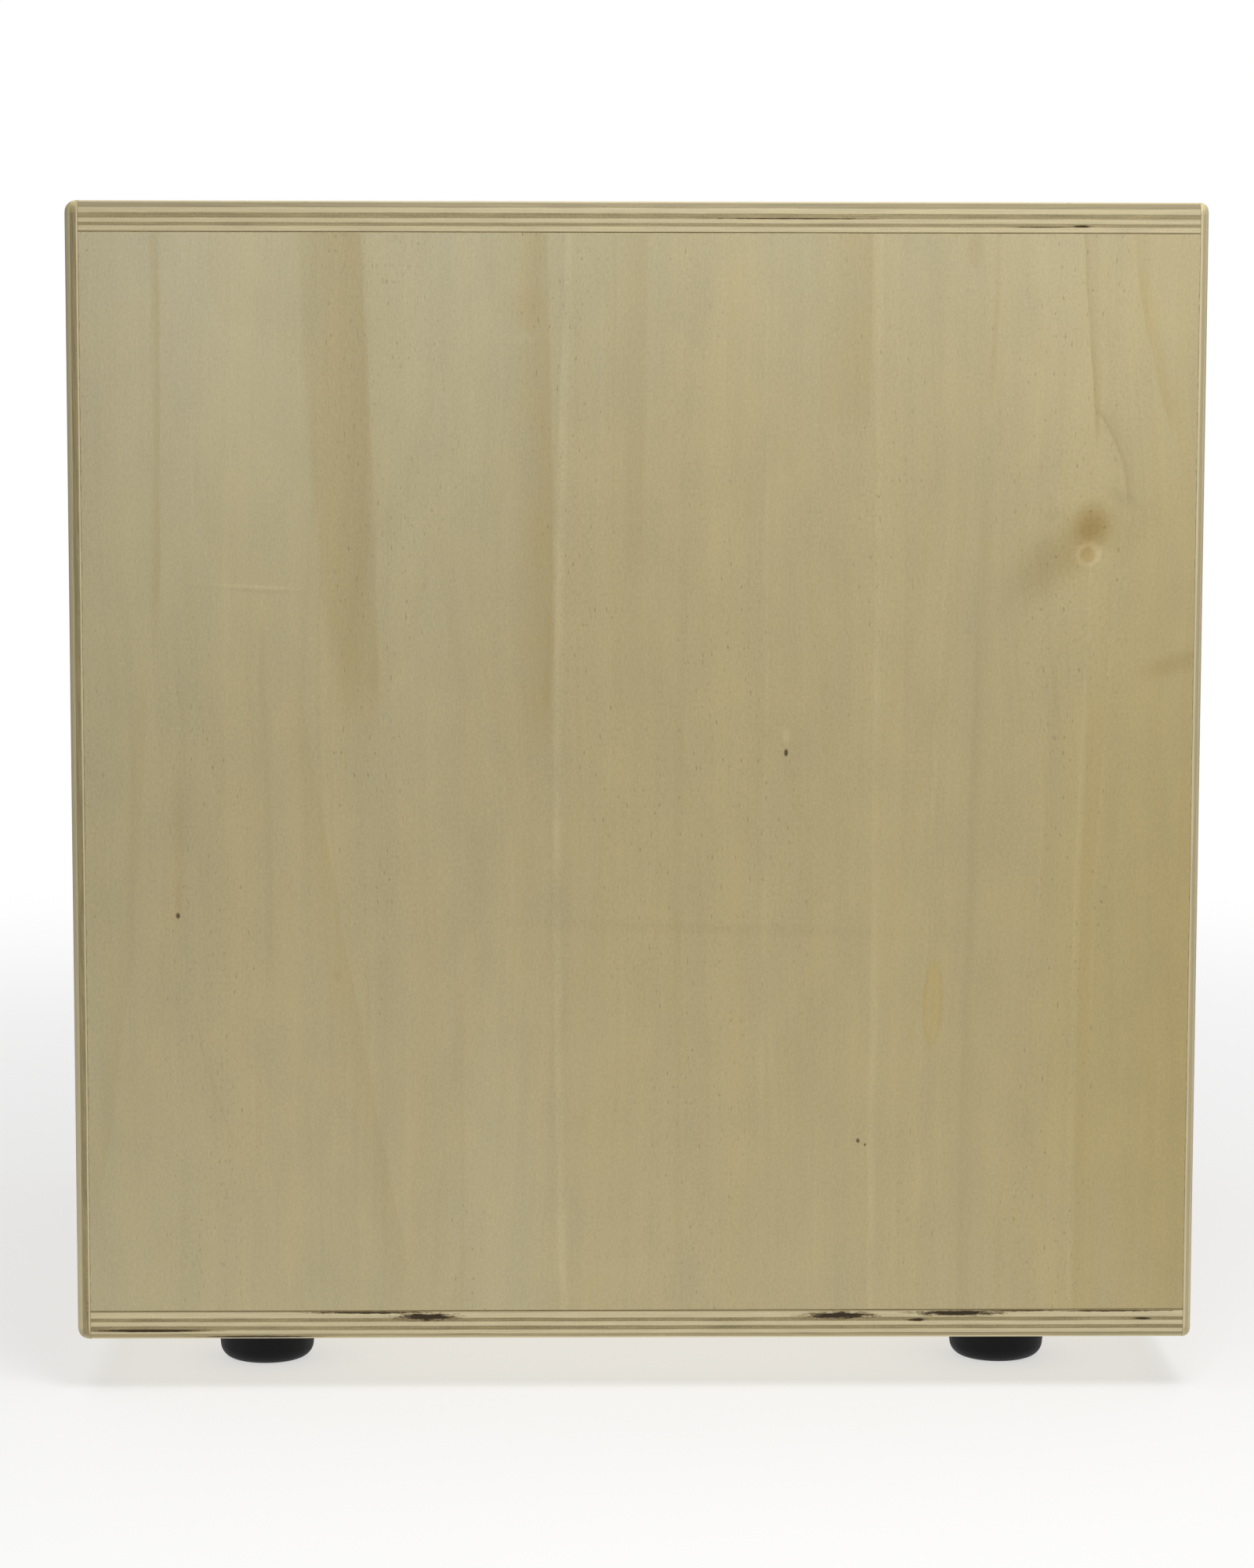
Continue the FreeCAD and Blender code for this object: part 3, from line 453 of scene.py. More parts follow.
def figure(g, across, along, seed, ring):
    """The figure of rotary-cut veneer: warmth, tone, height, a small sway, and its unevenness."""
    wander = g.noise(g.blend((across, 0.016), (seed, 1)), g.times(along, 0.007), detail=1)
    waver = g.noise(g.blend((across, 0.05), (seed, 1.7)), g.times(along, 0.06), detail=1)
    line = g.blend((wander, 8), (waver, 1.5), (across, 1))

    def bands(width, length, offset, detail=1.0):
        place = g.blend((line, 1 / width), (seed, 1), offset)
        return g.noise(place, g.calc("MULTIPLY_ADD", along, 1 / length, offset), detail=detail)

    broad = bands(24, 520, 3)
    medium = bands(6, 300, 7, 2.0)
    narrow = bands(1.7, 150, 9)
    fine = bands(0.6, 30, 11)
    fibre = g.noise(g.times(across, 3.0), g.times(along, 0.45), detail=1)
    wool = g.noise(g.times(across, 1.5), g.times(along, 1.1), detail=1)
    cloud = g.noise(g.blend((across, 0.10), (seed, 1)), g.times(along, 0.05), detail=2)
    rings = g.calc("FRACT", g.blend((bands(46, 620, 41), 15), (medium, 0.3)))
    rings = g.times(g.calc("POWER", rings, 1.6), g.step(rings, 1.0, 0.92), ring)
    flecked = g.step(bands(30, 200, 51, 0.0), -0.12, 0.14)
    fleck = g.times(g.step(bands(0.6, 2.0, 31, 0.0), 0.27, 0.42), flecked)
    warmth = g.blend(
        (broad, 0.34),
        (medium, 0.18),
        (rings, 0.8),
        (narrow, 0.05),
        (cloud, 0.22),
        (wool, 0.04),
    )
    tone = g.blend(
        (broad, 0.08),
        (rings, -0.11),
        (medium, 0.08),
        (narrow, 0.04),
        (fine, 0.03),
        (fibre, 0.10),
        (wool, 0.15),
        (cloud, 0.10),
        (fleck, -0.22),
    )
    height = g.blend((fleck, -0.9), (fibre, 1))
    breakup = g.blend((cloud, 1.6), (wool, 0.6), 1.0)
    return [warmth, tone, height, waver, breakup]


def ply_edge(g, sideways, depth, seed):
    """The cut edge of plies: tone of long grain, tone of end grain, gaps, and height."""
    strand = g.noise(g.blend((sideways, 0.05), (seed, 1)), g.times(depth, 3.2), detail=3)
    blotch = g.noise(g.blend((sideways, 0.09), (seed, 2)), g.times(depth, 0.7), detail=3)
    bristle = g.noise(g.times(sideways, 1.5), g.times(depth, 1.6), detail=3)
    pores = g.step(g.noise(g.times(sideways, 2.2), g.times(depth, 2.2), detail=1), 0.14, 0.3)
    gap = g.noise(g.blend((sideways, 0.045), (seed, 3)), g.times(depth, 2.1), detail=3)
    raw = g.blend((strand, 0.30), (bristle, 0.14), (blotch, 0.16))
    dark = g.blend((strand, 0.5), (blotch, 0.6), (bristle, 0.45), (pores, -0.3))
    relief = g.blend((bristle, 1.6), (strand, 1.2))
    return [raw, dark, g.step(gap, 0.315, 0.335), relief]


STREAK = node_group(
    "streak",
    ("across", "along", "low", "high", "start", "middle", "end", "front", "back"),
    streak,
)
OVAL = node_group("oval", ("across", "along", "y", "z", "half_y", "half_z", "tilt", "soft"), oval)
FIGURE = node_group("figure", ("across", "along", "seed", "ring"), figure)
PLY_EDGE = node_group("ply_edge", ("sideways", "depth", "seed"), ply_edge)


def side_marks(s, across, along, breakup, sums):
    """The sums of warmth, tone and brownness with the right side's own marks, its painted sheen at the
    top corners and its painted shade over the middle, added to them.
    """
    for tint, strength, heights, path, fades in SIDE_STREAKS:
        mask = s.times(s.use(STREAK, across, along, *heights, *path, *fades)[0], breakup)
        sums = s.tally(mask, strength, TINTS[tint], sums)
    for tint, strength, middle, half, tilt, soft in SIDE_PATCHES:
        mask = s.use(OVAL, across, along, *middle, *half, tilt, soft)[0]
        sums = s.tally(mask, strength, TINTS[tint], sums)
    for middle, half in SIDE_PINS:
        mask = s.use(OVAL, across, along, *middle, *half, 0.0, 0.35)[0]
        sums = s.tally(mask, 1.0, TINTS["hole"], sums)
    return sums


def glue_and_shadow_lines(s, colour, place, joints, unevenness):
    """A colour with dark lines over it at joints between pieces, partly glue and partly painted shadow
    of the narrow groove there; each joint has an axis, a place on it and a half width.
    """
    for axis, position, width in joints:
        away = s.plus(s.calc("ABSOLUTE", s.plus(place[axis], -position)), unevenness)
        colour = s.mix(s.times(s.step(away, width, width * 0.3), SEAM_DARKNESS), colour, GLUE_AND_SHADOW)
    return colour


def face_surface(s, place, across, along, seed, ring, knot, marks, joints):
    """The outer veneer of a plywood piece, painted cooler and paler towards the box's top and bottom as
    sheen, with dark seams where it meets its neighbours, partly glue and partly painted shadow.
    """
    swelled = across
    if knot:
        swell = s.use(OVAL, across, along, *knot, 0.0, 0.95)[0]
        swelled = s.calc("MULTIPLY_ADD", s.times(swell, -0.5), s.plus(across, -knot[0]), across)
    warmth, tone, height, waver, breakup = s.use(FIGURE, swelled, along, seed, ring)
    # Painted sheen: the veneer turns cooler and a little paler towards the box's top and bottom, most
    # at the top; it also turns warmer towards the back.
    up = s.times(s.plus(place[Z], -MIDDLE_Z), 1 / HALF_DEPTH)
    warmth = s.blend(
        (s.times(up, up), -0.31),
        (up, -0.19),
        (place[Y], 0.20 / HALF_DEPTH),
        (warmth, 1),
        0.60,
    )
    sums = [warmth, tone, s.times(tone, -0.4)]
    if marks:
        sums = marks(s, s.calc("MULTIPLY_ADD", waver, 0.8, across), along, breakup, sums)
    warmth, tone, brownness = sums
    colour = s.mix(brownness, s.mix(warmth, COOL, WARM, clamp=False), BROWN)
    colour = glue_and_shadow_lines(s, s.shade(colour, tone), place, joints, s.times(height, 0.45))
    gloss = s.calc("MULTIPLY_ADD", height, 0.1, 0.46)
    return s.surface(colour, gloss, height, WOOD_BUMP_MM, Specular_IOR_Level=0.35)


def ply_ramps(s, share, plies):
    """1 on every second ply and 0 on the others, and 1 on the lines between plies."""
    total = sum(plies)
    parity, seam, passed = [(0.0, 0.0)], [(0.0, 0.0)], 0.0
    for i, ply in enumerate(plies[:-1]):
        passed += ply
        level = (i + 1) % 2
        parity.append(((passed - PLY_CHANGE) / total, 1 - level))
        parity.append(((passed + PLY_CHANGE) / total, level))
        seam.append(((passed - PLY_LINE) / total, 0))
        seam.append((passed / total, 1))
        seam.append(((passed + PLY_LINE) / total, 0))
    return s.ramp(share, parity), s.ramp(share, seam)


def tears(s, place, voids):
    """1 in the torn places along a board's edge on the right side."""
    coarse = s.noise(s.times(place[Y], 0.35), s.times(place[Z], 1.9), detail=4)
    fine = s.noise(s.times(place[Y], 1.4), s.times(place[Z], 3.5), detail=2)
    frayed = s.blend((fine, 0.5), (coarse, 1))
    torn = 0.0
    for middle, half, ragged in voids:
        distance = s.use(OVAL, place[Y], place[Z], *middle, *half, 0.0, 0.1)[1]
        distance = s.calc("MULTIPLY_ADD", frayed, ragged, distance)
        torn = s.calc("MAXIMUM", torn, s.step(distance, 1.55, 0.35))
    return s.times(torn, s.step(place[X], 0.0, 1.0))


def edge_surface(s, place, facing, thickness, grain, depth, plies, seed,
                 voids, joints, contrast, rounding_shade):
    """The cut plies of plywood: light where their grain runs along the cut, dark where it ends."""
    cross = 3 - thickness - grain
    across, along = place[cross], place[grain]
    ripple = s.noise(s.times(across, 0.02), s.times(along, 0.02), s.times(depth, 0.25), detail=3)
    jitter = s.noise(s.times(across, 0.25), s.times(along, 0.25), s.times(depth, 0.25), detail=2)
    depth = s.blend((ripple, 0.34), (jitter, 0.12), (depth, 1))
    is_cross_ply, is_ply_line = ply_ramps(s, s.times(depth, 1 / sum(plies)), plies)
    end_long = s.calc("POWER", facing[grain], 0.8)
    end_cross = s.calc("POWER", facing[cross], 0.8)
    endness = s.plus(s.times(is_cross_ply, end_cross), s.times(s.less(1.0, is_cross_ply), end_long))
    sideways = s.plus(s.times(across, facing[grain]), s.times(along, facing[cross]))
    raw, dark, gaps, relief = s.use(PLY_EDGE, sideways, depth, seed)
    dark = s.mix(1 - contrast, s.shade(END_GRAIN, dark), RAW_EDGE)
    colour = s.mix(endness, s.shade(RAW_EDGE, raw), dark)
    colour = s.mix(s.times(is_ply_line, PLY_LINE_DARKNESS * contrast), colour, GLUE_AND_SHADOW)
    # Painted shade: the cut plies are darkened the more the rounded edge turns to face out along the
    # thickness, and a little all over.
    if rounding_shade:
        colour = s.shade(colour, s.blend((facing[thickness], -rounding_shade), -0.2 * rounding_shade))
    gaps = s.times(gaps, 0.9)
    if voids:
        torn = tears(s, place, voids)
        colour = s.mix(s.times(s.step(torn, 0.05, 0.50), 0.75), colour, TORN)
        gaps = s.calc("MAXIMUM", gaps, s.step(torn, 0.45, 0.90))
    colour = glue_and_shadow_lines(s, s.mix(gaps, colour, VOID), place, joints, s.times(ripple, 0.25))
    return s.surface(colour, 0.62, relief, WOOD_BUMP_MM, Specular_IOR_Level=0.3)


def plywood(name, node, thickness, grain, outer, plies, seed, ring=0.5, knot=None, marks=None, voids=(),
            face_joints=(), edge_joints=(), contrast=1.0, rounding_shade=0.0):
    """Plywood with its plies' thicknesses listed from the outer face inwards.

    thickness and grain are axes, and outer is the sign of the way that the outer face faces. The first
    ply's grain, and every second one's, runs along the grain axis. Rounded edges cut through the plies.
    contrast is between the plies, and the last argument is painted shade on rounded edges: how much
    darker they are the more they face along the thickness, and a fifth of that darker all over.
    """
    s = Shader(name)
    place, facing = s.place_mm(), s.facing()
    cross = 3 - thickness - grain
    depth = s.times(s.less(outside(node, thickness, outer), place[thickness]), outer)
    face = face_surface(s, place, place[cross], place[grain], seed, ring, knot, marks, face_joints)
    edge = edge_surface(s, place, facing, thickness, grain, depth, plies, seed,
                        voids, edge_joints, contrast, rounding_shade)
    surface = s.between(s.step(facing[thickness], ALL_FACE, ALL_PLIES), face, edge)
    wear(s.finish(surface, plain=MEAN_VENEER), node)


# Thicknesses of the plies, in millimetres, from the outer face inwards. The first of the top board's
# is sanded almost away.
TOP_PLIES = (0.10, 1.62, 1.45, 1.25, 1.25, 0.83, 1.50)
BOTTOM_PLIES = (0.75, 1.05, 1.15, 1.00, 1.20, 0.95, 1.90)
SIDE_PLIES = (0.9, 1.2, 1.2, 1.4, 1.2, 1.2, 0.9)
TAPA_PLIES = (1.65, 1.5, 0.45)
BACK_PLIES = (0.9, 0.7, 0.6)

# Tears and gaps in the boards' edges on the right side: middle (y, z), half width and half height, and
# raggedness.
BOTTOM_VOIDS = (
    ((-56, 20.4), (8.0, 1.05), 1.3),
    ((-72, 21.7), (15.0, 0.35), 1.3),
    ((-130.5, 16.8), (17.0, 0.42), 0.4),
    ((-101.5, 14.9), (16.0, 0.40), 0.5),
    ((55, 20.6), (9.0, 0.95), 1.3),
    ((87, 21.2), (11.0, 0.75), 1.3),
    ((76, 19.4), (2.6, 0.45), 1.2),
    ((104, 21.8), (10.0, 0.25), 1.3),
    ((136.7, 19.6), (2.4, 0.35), 0.8),
    ((128.0, 21.7), (14.0, 0.22), 1.2),
)
TOP_VOIDS = (
    ((116.4, 311.7), (2.4, 0.34), 0.8),
    ((106.0, 311.5), (9.0, 0.13), 0.8),
    ((40.0, 313.6), (22.0, 0.16), 0.8),
)


def wood_panels():
    """The box and the two plates, with dark lines where they meet on the right side, partly glue and
    partly painted shadow of the groove between them.
    """
    side = "side_panel_right"
    front, back = outside(side, Y, -1), outside(side, Y, 1)
    low, high = outside(side, Z, -1), outside(side, Z, 1)
    seams = ((Y, front, 0.30), (Y, back, 0.25), (Z, low, 0.50), (Z, high, 0.42))
    rims = ((Y, front, 0.3), (Y, back, 0.25))
    plywood("veneer_right", side, X, Z, 1, SIDE_PLIES, 3.7, ring=0.10, knot=(119, 227, 20, 34),
            marks=side_marks, face_joints=seams)
    plywood("veneer_left", "side_panel_left", X, Z, -1, SIDE_PLIES, 41.3, knot=(-62, 118, 16, 40),
            face_joints=seams)
    # The top board's rounded edge gets painted shade.
    plywood("plywood_top", "top_board", Z, Y, 1, TOP_PLIES, 8.9, voids=TOP_VOIDS,
            face_joints=rims, edge_joints=((Z, high, 0.25), *rims), contrast=0.85, rounding_shade=0.5)
    plywood("plywood_bottom", "bottom_board", Z, Y, -1, BOTTOM_PLIES, 15.1, voids=BOTTOM_VOIDS,
            face_joints=rims, edge_joints=((Z, low, 0.45), *rims))
    plywood("plywood_tapa", "tapa", Y, Z, -1, TAPA_PLIES, 22.7, ring=0.7)
    plywood("plywood_back", "back_panel", Y, Z, 1, BACK_PLIES, 29.9, contrast=0.45)


# Solid wood, from rings about a pith that lies outside the piece.

PINE = ((0.70, 0.53, 0.32), (0.50, 0.30, 0.13))
BEECH = ((0.60, 0.405, 0.255), (0.47, 0.28, 0.155))
WOOD_ROUNDING_MM = 0.35
SAWN_BUMP_MM = 0.06


def solid_wood(name, grain, pale, dark, ring_mm, pith, seed, late=0.5, ray=0.0, saw=0.0):
    """Planed or sawn wood with its grain along an axis; pith is the middle of its rings, across it."""
    s = Shader(name)
    place, facing = s.place_mm(), s.facing()
    one, two = [axis for axis in (X, Y, Z) if axis != grain]
    along = place[grain]

    def drawn(scale, share, detail=2.0):
        stretched = [s.times(part, scale) for part in place]
        stretched[grain] = s.times(along, scale * share)
        return s.noise(*stretched, detail=detail)

    sway = s.noise(s.times(place[one], 0.01), s.times(place[two], 0.01), s.times(along, 0.006))
    u = s.blend((sway, 14), (place[one], 1), -pith[0])
    v = s.blend((sway, -11), (place[two], 1), -pith[1])
    radius = s.calc("SQRT", s.plus(s.times(u, u), s.times(v, v)))
    uneven = s.noise(s.times(radius, 0.11), seed, detail=1)
    phase = s.calc("FRACT", s.blend((radius, 1 / ring_mm), (uneven, 3)))
    latewood = s.times(s.step(phase, 0.35, 0.97), s.step(phase, 1.0, 0.95))
    end = s.calc("POWER", facing[grain], 2.0)
    fibre = drawn(1.8, 0.03, 3)
    broad = drawn(0.12, 0.03)
    pore = s.step(drawn(2.6, 1.0, 1), 0.10, 0.25)
    tone = s.blend((fibre, 0.22), (broad, 0.25), (s.times(pore, end), -0.35), (end, -0.28))
    if ray:
        tone = s.blend((s.step(drawn(1.4, 0.25, 1), 0.14, 0.24), -ray), (tone, 1))
    height = s.blend((latewood, 0.5), (fibre, 1))
    if saw:
        teeth = s.blend((drawn(0.03, 1.0), 6), (along, 0.42))
        ridge = s.times(s.calc("SINE", s.times(teeth, 2 * math.pi)), s.less(1.0, end), saw)
        height = s.plus(height, ridge)
        tone = s.blend((ridge, 0.05), (tone, 1))
    edge, rounded = s.worn_edge(WOOD_ROUNDING_MM)
    colour = s.mix(s.times(latewood, late), pale, dark)
    colour = s.shade(colour, s.blend((edge, -0.12), (tone, 1)))
    gloss = s.blend((fibre, 0.2), 0.62)
    return s.finish(s.surface(colour, gloss, height, SAWN_BUMP_MM, rounded))


def inner_wood():
    """Sawn pine battens and blocks, and the snare's planed beech rails."""
    for plate, seed in (("front", 5), ("back", 4)):
        wear(solid_wood(f"pine_{plate}_upright", Z, *PINE, 2.6, (35, 190), seed, saw=0.5),
             f"{plate}_batten_left", f"{plate}_batten_right")
        wear(solid_wood(f"pine_{plate}_cross", X, *PINE, 2.3, (60, 420), seed + 2, saw=0.5),
             f"{plate}_batten_top", f"{plate}_batten_bottom")
    blocks = [f"glue_block_{end}_{side}" for end in ("top", "bottom") for side in ("left", "right")]
    wear(solid_wood("pine_block", Y, *PINE, 2.9, (12, 150), 6, saw=0.9), *blocks)
    wear(solid_wood("beech_rail", X, *BEECH, 3.4, (-90, 200), 9, late=0.55, ray=0.22),
         "string_rail", "guide_rail")


# Metals and rubber. Each metal is its colour and that of its tarnish.

ZINC = ((0.62, 0.64, 0.66), (0.50, 0.50, 0.44))
BLACK_STEEL = ((0.055, 0.055, 0.060), (0.085, 0.070, 0.055))
WOUND_STEEL = ((0.66, 0.66, 0.66), (0.42, 0.38, 0.33))
BRASS = ((0.78, 0.57, 0.25), (0.46, 0.30, 0.12))
BARE_STEEL = (0.42, 0.41, 0.40)
METAL_WEAR_MM = 0.12
METAL_BUMP_MM = 0.012

RUBBER = (0.004, 0.004, 0.0045)
DUST = (0.09, 0.085, 0.075)
RUBBER_WEAR_MM = 0.5
RUBBER_BUMP_MM = 0.05


def metal(name, colour, tarnish, roughness, brushed=None, worn=None, spots=0.0):
    """Plated or plain metal; brushed is the axis that its fine lines run along."""
    s = Shader(name)
    place = s.place_mm()
    fine = [s.times(part, 7.0) for part in place]
    if brushed is not None:
        fine[brushed] = s.times(place[brushed], 0.2)
    lines = s.noise(*fine, detail=3)
    cloud = s.noise(*[s.times(part, 0.35) for part in place], detail=4)
    coarse = [s.times(part, 2.4) for part in place]
    speck = s.step(s.noise(*coarse), 0.12, 0.30)
    stain = s.step(cloud, -0.05, 0.32)
    tint = s.mix(s.times(stain, 0.7), colour, tarnish)
    tint = s.mix(s.times(speck, spots), tint, tarnish)
    edge, rounded = s.worn_edge(METAL_WEAR_MM)
    rubbed = s.times(edge, s.step(s.noise(*coarse, detail=3), -0.25, 0.15))
    tint = s.mix(s.times(rubbed, 0.75), tint, worn or colour)
    gloss = s.blend((stain, 0.18), (lines, 0.22), (rubbed, -0.08), roughness)
    height = s.blend((speck, spots), (lines, 1))
    return s.finish(s.surface(tint, gloss, height, METAL_BUMP_MM, rounded, Metallic=1.0))


def rubber():
    """Moulded black rubber, chalky on its edges, with dust where it stands."""
    s = Shader("rubber_black")
    place = s.place_mm()
    grain = s.noise(*[s.times(part, 3.2) for part in place], detail=4)
    cloud = s.noise(*[s.times(part, 0.22) for part in place], detail=3)
    edge, rounded = s.worn_edge(RUBBER_WEAR_MM)
    dust = s.times(s.step(place[Z], 1.6, 0.0), s.step(cloud, -0.2, 0.3))
    colour = s.mix(s.blend((edge, 0.10), (dust, 0.16), (s.step(cloud, 0.0, 0.4), 0.05)), RUBBER, DUST)
    gloss = s.blend((cloud, 0.2), 0.62)
    return s.finish(s.surface(colour, gloss, grain, RUBBER_BUMP_MM, rounded, Specular_IOR_Level=0.18))


def hardware():
    """The feet, and all the metal but the strings."""
    feet = [f"foot_{end}_{side}" for end in ("front", "rear") for side in ("left", "right")]
    wear(rubber(), *feet)
    wear(metal("zinc_sheet", *ZINC, 0.34, brushed=X, spots=0.2),
         "tension_channel_left", "tension_channel_right", "anchor_plate")
    wear(metal("zinc_turned", *ZINC, 0.30, spots=0.15), "tension_nut_left", "tension_nut_right",
         "bolt_washers", "foot_washers", "foot_screws", "anchor_screws")
    wear(metal("black_screws", *BLACK_STEEL, 0.42, worn=BARE_STEEL),
         "tapa_screws", "back_screws", "tension_bolt_left", "tension_bolt_right")
    wear(metal("brass", *BRASS, 0.28, spots=0.25), "ball_ends", "ferrules_left", "ferrules_right")


# The snare's strings. Each has a winding around its core, so it is ridged along its whole length. The
# mesh has so many rings for each turn of the winding, and so many sides around.

STRING_BEND = 1.5 * MM
WINDING = 0.5 * MM
WINDING_DEPTH = 0.09 * MM
WINDING_RINGS = 4
WINDING_SIDES = 8


def string_line(node, side):
    """Points along a string's middle, from ball end to ferrule, with headings, and its radius."""
    low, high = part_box(node)
    radius = (high.x - low.x) / 2
    front, top, bottom = low.y + radius, high.z - radius, low.z + radius
    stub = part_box("ball_ends")[1].y - high.y
    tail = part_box(f"ferrules_{side}")[1].y - stub
    quarter = math.pi / 2
    legs = (
        (high.y - front - STRING_BEND, 0.0),
        (STRING_BEND * quarter, quarter),
        (top - bottom - 2 * STRING_BEND, 0.0),
        (STRING_BEND * quarter, quarter),
        (tail - front - STRING_BEND, 0.0),
    )
    point, heading = Vector(((low.x + high.x) / 2, high.y, top)), 0.0
    line = [(point.copy(), heading)]
    for length, turn in legs:
        steps = round(length * WINDING_RINGS / WINDING)
        chord = 2 * STRING_BEND * math.sin(turn / steps / 2) if turn else length / steps
        for _ in range(steps):
            heading += turn / steps / 2
            point = point + Vector((0, -math.cos(heading), -math.sin(heading))) * chord
            heading += turn / steps / 2
            line.append((point.copy(), heading))
    return line, radius


def winding(name, line, radius):
    """A closed, smooth mesh around a line, with a ridge that winds around it."""
    shape = bmesh.new()
    rings = []
    for i, (point, heading) in enumerate(line):
        across = Vector((0, math.sin(heading), -math.cos(heading)))
        ring = []
        for k in range(WINDING_SIDES):
            angle = 2 * math.pi * k / WINDING_SIDES
            ridge = 0.5 + 0.5 * math.cos(2 * math.pi * i / WINDING_RINGS - angle)
            reach = radius - WINDING_DEPTH * (1 - ridge)
            offset = Vector((1, 0, 0)) * math.cos(angle) + across * math.sin(angle)
            ring.append(shape.verts.new(point + offset * reach))
        rings.append(ring)
    for one, two in zip(rings, rings[1:]):
        for k in range(WINDING_SIDES):
            after = (k + 1) % WINDING_SIDES
            shape.faces.new((one[k], one[after], two[after], two[k]))
    shape.faces.new(rings[0])
    shape.faces.new(rings[-1])
    bmesh.ops.recalc_face_normals(shape, faces=shape.faces)
    mesh = bpy.data.meshes.new(name)
    shape.to_mesh(mesh)
    shape.free()
    mesh.polygons.foreach_set("use_smooth", [True] * len(mesh.polygons))
    return mesh


def wound_string(node, side, material):
    """One string, which rides on the cabinet at its top and on its channel at its bottom."""
    line, radius = string_line(node, side)
    mesh = winding(f"wound_{node}", line, radius)
    mesh.materials.append(material)
    thing = bpy.data.objects.new(f"wound_{node}", mesh)
    bpy.context.scene.collection.objects.link(thing)
    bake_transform(thing)
    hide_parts(node)


def strings():
    """The four strings, two to each channel."""
    steel = metal("wound_steel", *WOUND_STEEL, 0.28, spots=0.2)
    for side in ("left", "right"):
        for where in ("outer", "inner"):
            wound_string(f"string_{where}_{side}", side, steel)


# The studio. The camera's distance is from the right side, and its angles are in degrees.

CAMERA_DISTANCE = 1.170
CAMERA_Y = -0.025
CAMERA_HEIGHT = 0.2988
CAMERA_YAW = 1.10
CAMERA_PITCH = 6.54
CAMERA_ROLL = 0.12
LENS_MM = 101.9
SENSOR_MM = 36


def camera():
    """The camera stands square on to the right side, a little below its top, and looks down."""
    yaw, pitch, roll = math.radians(CAMERA_YAW), math.radians(CAMERA_PITCH), math.radians(CAMERA_ROLL)
    ahead = Vector((
        -math.cos(pitch) * math.cos(yaw),
        math.cos(pitch) * math.sin(yaw),
        -math.sin(pitch),
    ))
    level = ahead.cross(Vector((0, 0, 1))).normalized()
    above = level.cross(ahead)
    right = level * math.cos(roll) + above * math.sin(roll)
    up = above * math.cos(roll) - level * math.sin(roll)
    data = bpy.data.cameras.new("Camera")
    data.sensor_width = SENSOR_MM
    data.lens = LENS_MM
    thing = bpy.data.objects.new("Camera", data)
    bpy.context.scene.collection.objects.link(thing)
    turn = Matrix((right, up, -ahead)).transposed()
    place = (cad_box[1].x + CAMERA_DISTANCE, CAMERA_Y, CAMERA_HEIGHT)
    thing.matrix_world = Matrix.Translation(place) @ turn.to_4x4()
    bpy.context.scene.camera = thing


def area_light(name, place, aim, size, power):
    """A round soft lamp at a place, turned towards another, that the camera doesn't see."""
    data = bpy.data.lights.new(name, "AREA")
    data.shape = "DISK"
    data.size = size
    data.energy = power
    thing = bpy.data.objects.new(name, data)
    bpy.context.scene.collection.objects.link(thing)
    thing.location = place
    thing.rotation_euler = (Vector(aim) - Vector(place)).to_track_quat("-Z", "Y").to_euler()
    thing.visible_camera = False


# What the floor and the surround give as lights: the floor near the object beyond what it gives far
# away, and the share of the near floor's own glow in what the camera sees of it.
FLOOR_RADIUS = 3.0
FLOOR_NEAR = 0.65
FLOOR_FAR = 0.32
FLOOR_GLOW = 0.6
SURROUND = 0.157


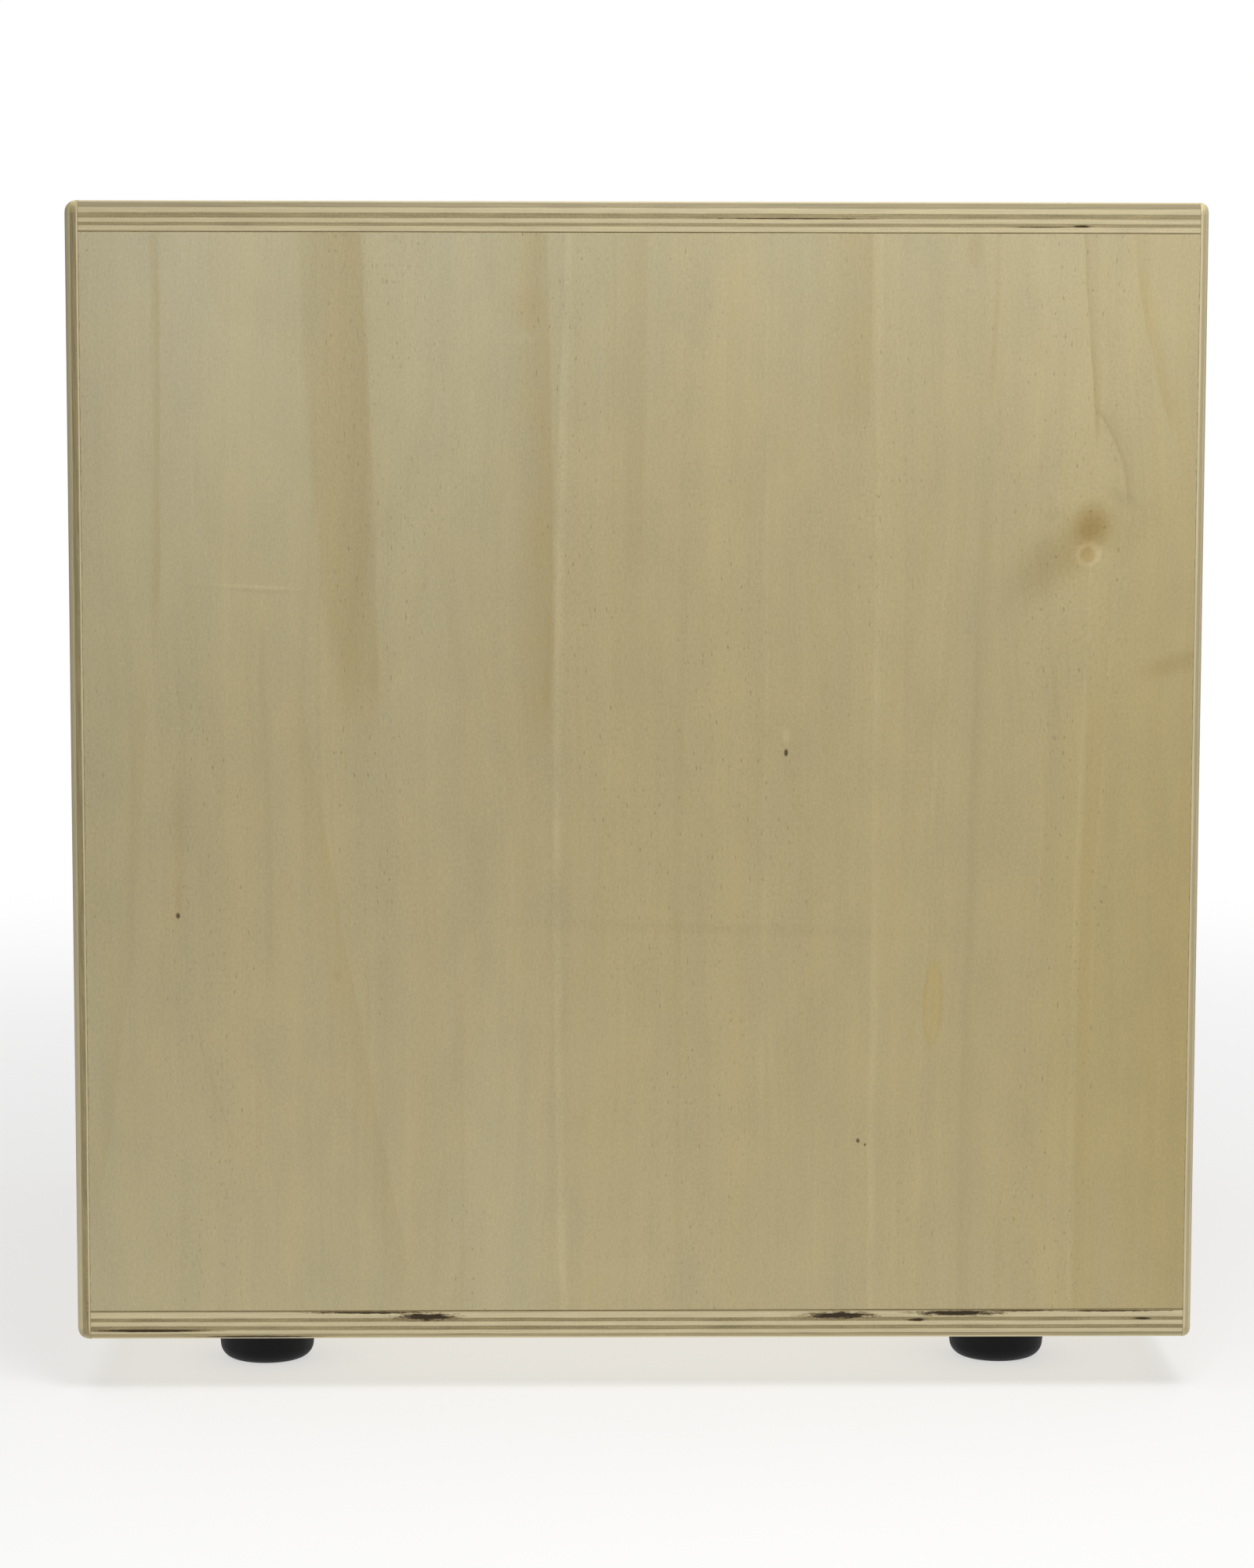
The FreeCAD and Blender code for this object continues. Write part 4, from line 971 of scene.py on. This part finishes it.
def floor():
    """A white floor that fades into the surround, is clear from below, and lights the object."""
    s = Shader("floor_white")
    out = s.add("ShaderNodeVectorMath", operation="LENGTH")
    s.put(out.inputs[0], s.coordinates.outputs["Object"])
    distance = out.outputs["Value"]
    paper = s.noise(*[s.times(part, 0.06) for part in s.place_mm()], detail=3)
    diffuse = s.surface(s.shade((0.9, 0.9, 0.9), s.times(paper, 0.01)), 0.8)
    white = s.add("ShaderNodeEmission")
    bounce = s.add("ShaderNodeEmission")
    s.put(bounce.inputs["Strength"], s.blend((s.step(distance, 1.2, 0.2), FLOOR_NEAR), FLOOR_FAR))
    glow = s.blend((s.step(distance, 0.3, 0.9), 1 - FLOOR_GLOW), FLOOR_GLOW)
    seen = s.between(glow, diffuse, white.outputs[0])
    solid = s.between(s.add("ShaderNodeLightPath").outputs["Is Camera Ray"], bounce.outputs[0], seen)
    behind = s.add("ShaderNodeNewGeometry").outputs["Backfacing"]
    clear = s.calc("MAXIMUM", s.step(distance, 0.9, 2.4), behind)
    s.finish(s.between(clear, solid, s.add("ShaderNodeBsdfTransparent").outputs[0]))
    mesh = bpy.data.meshes.new("floor")
    shape = bmesh.new()
    bmesh.ops.create_circle(shape, cap_ends=True, segments=96, radius=FLOOR_RADIUS)
    shape.to_mesh(mesh)
    shape.free()
    thing = bpy.data.objects.new("floor", mesh)
    bpy.context.scene.collection.objects.link(thing)
    mesh.materials.append(s.material)


def surround():
    """A surround that is white to look at and softer as a light."""
    world = bpy.data.worlds.new("surround")
    bpy.context.scene.world = world
    world.use_nodes = True
    tree = world.node_tree
    background = tree.nodes["Background"]
    background.inputs["Color"].default_value = (1, 1, 1, 1)
    level = tree.nodes.new("ShaderNodeMapRange")
    level.inputs["To Min"].default_value = SURROUND
    path = tree.nodes.new("ShaderNodeLightPath")
    tree.links.new(path.outputs["Is Camera Ray"], level.inputs["Value"])
    tree.links.new(level.outputs[0], background.inputs["Strength"])


def studio():
    """A pale floor and surround, a broad lamp overhead, and a small one that faces the right side."""
    floor()
    surround()
    area_light("overhead", (0, 0, 1.7), (0, 0, 0), 2.0, 21)
    area_light("key", (0.46, 0.14, 0.72), (0.15, 0.0, 0.25), 0.35, 2.5)
    bpy.context.scene.view_settings.view_transform = "Standard"


wood_panels()
inner_wood()
hardware()
strings()
camera()
studio()
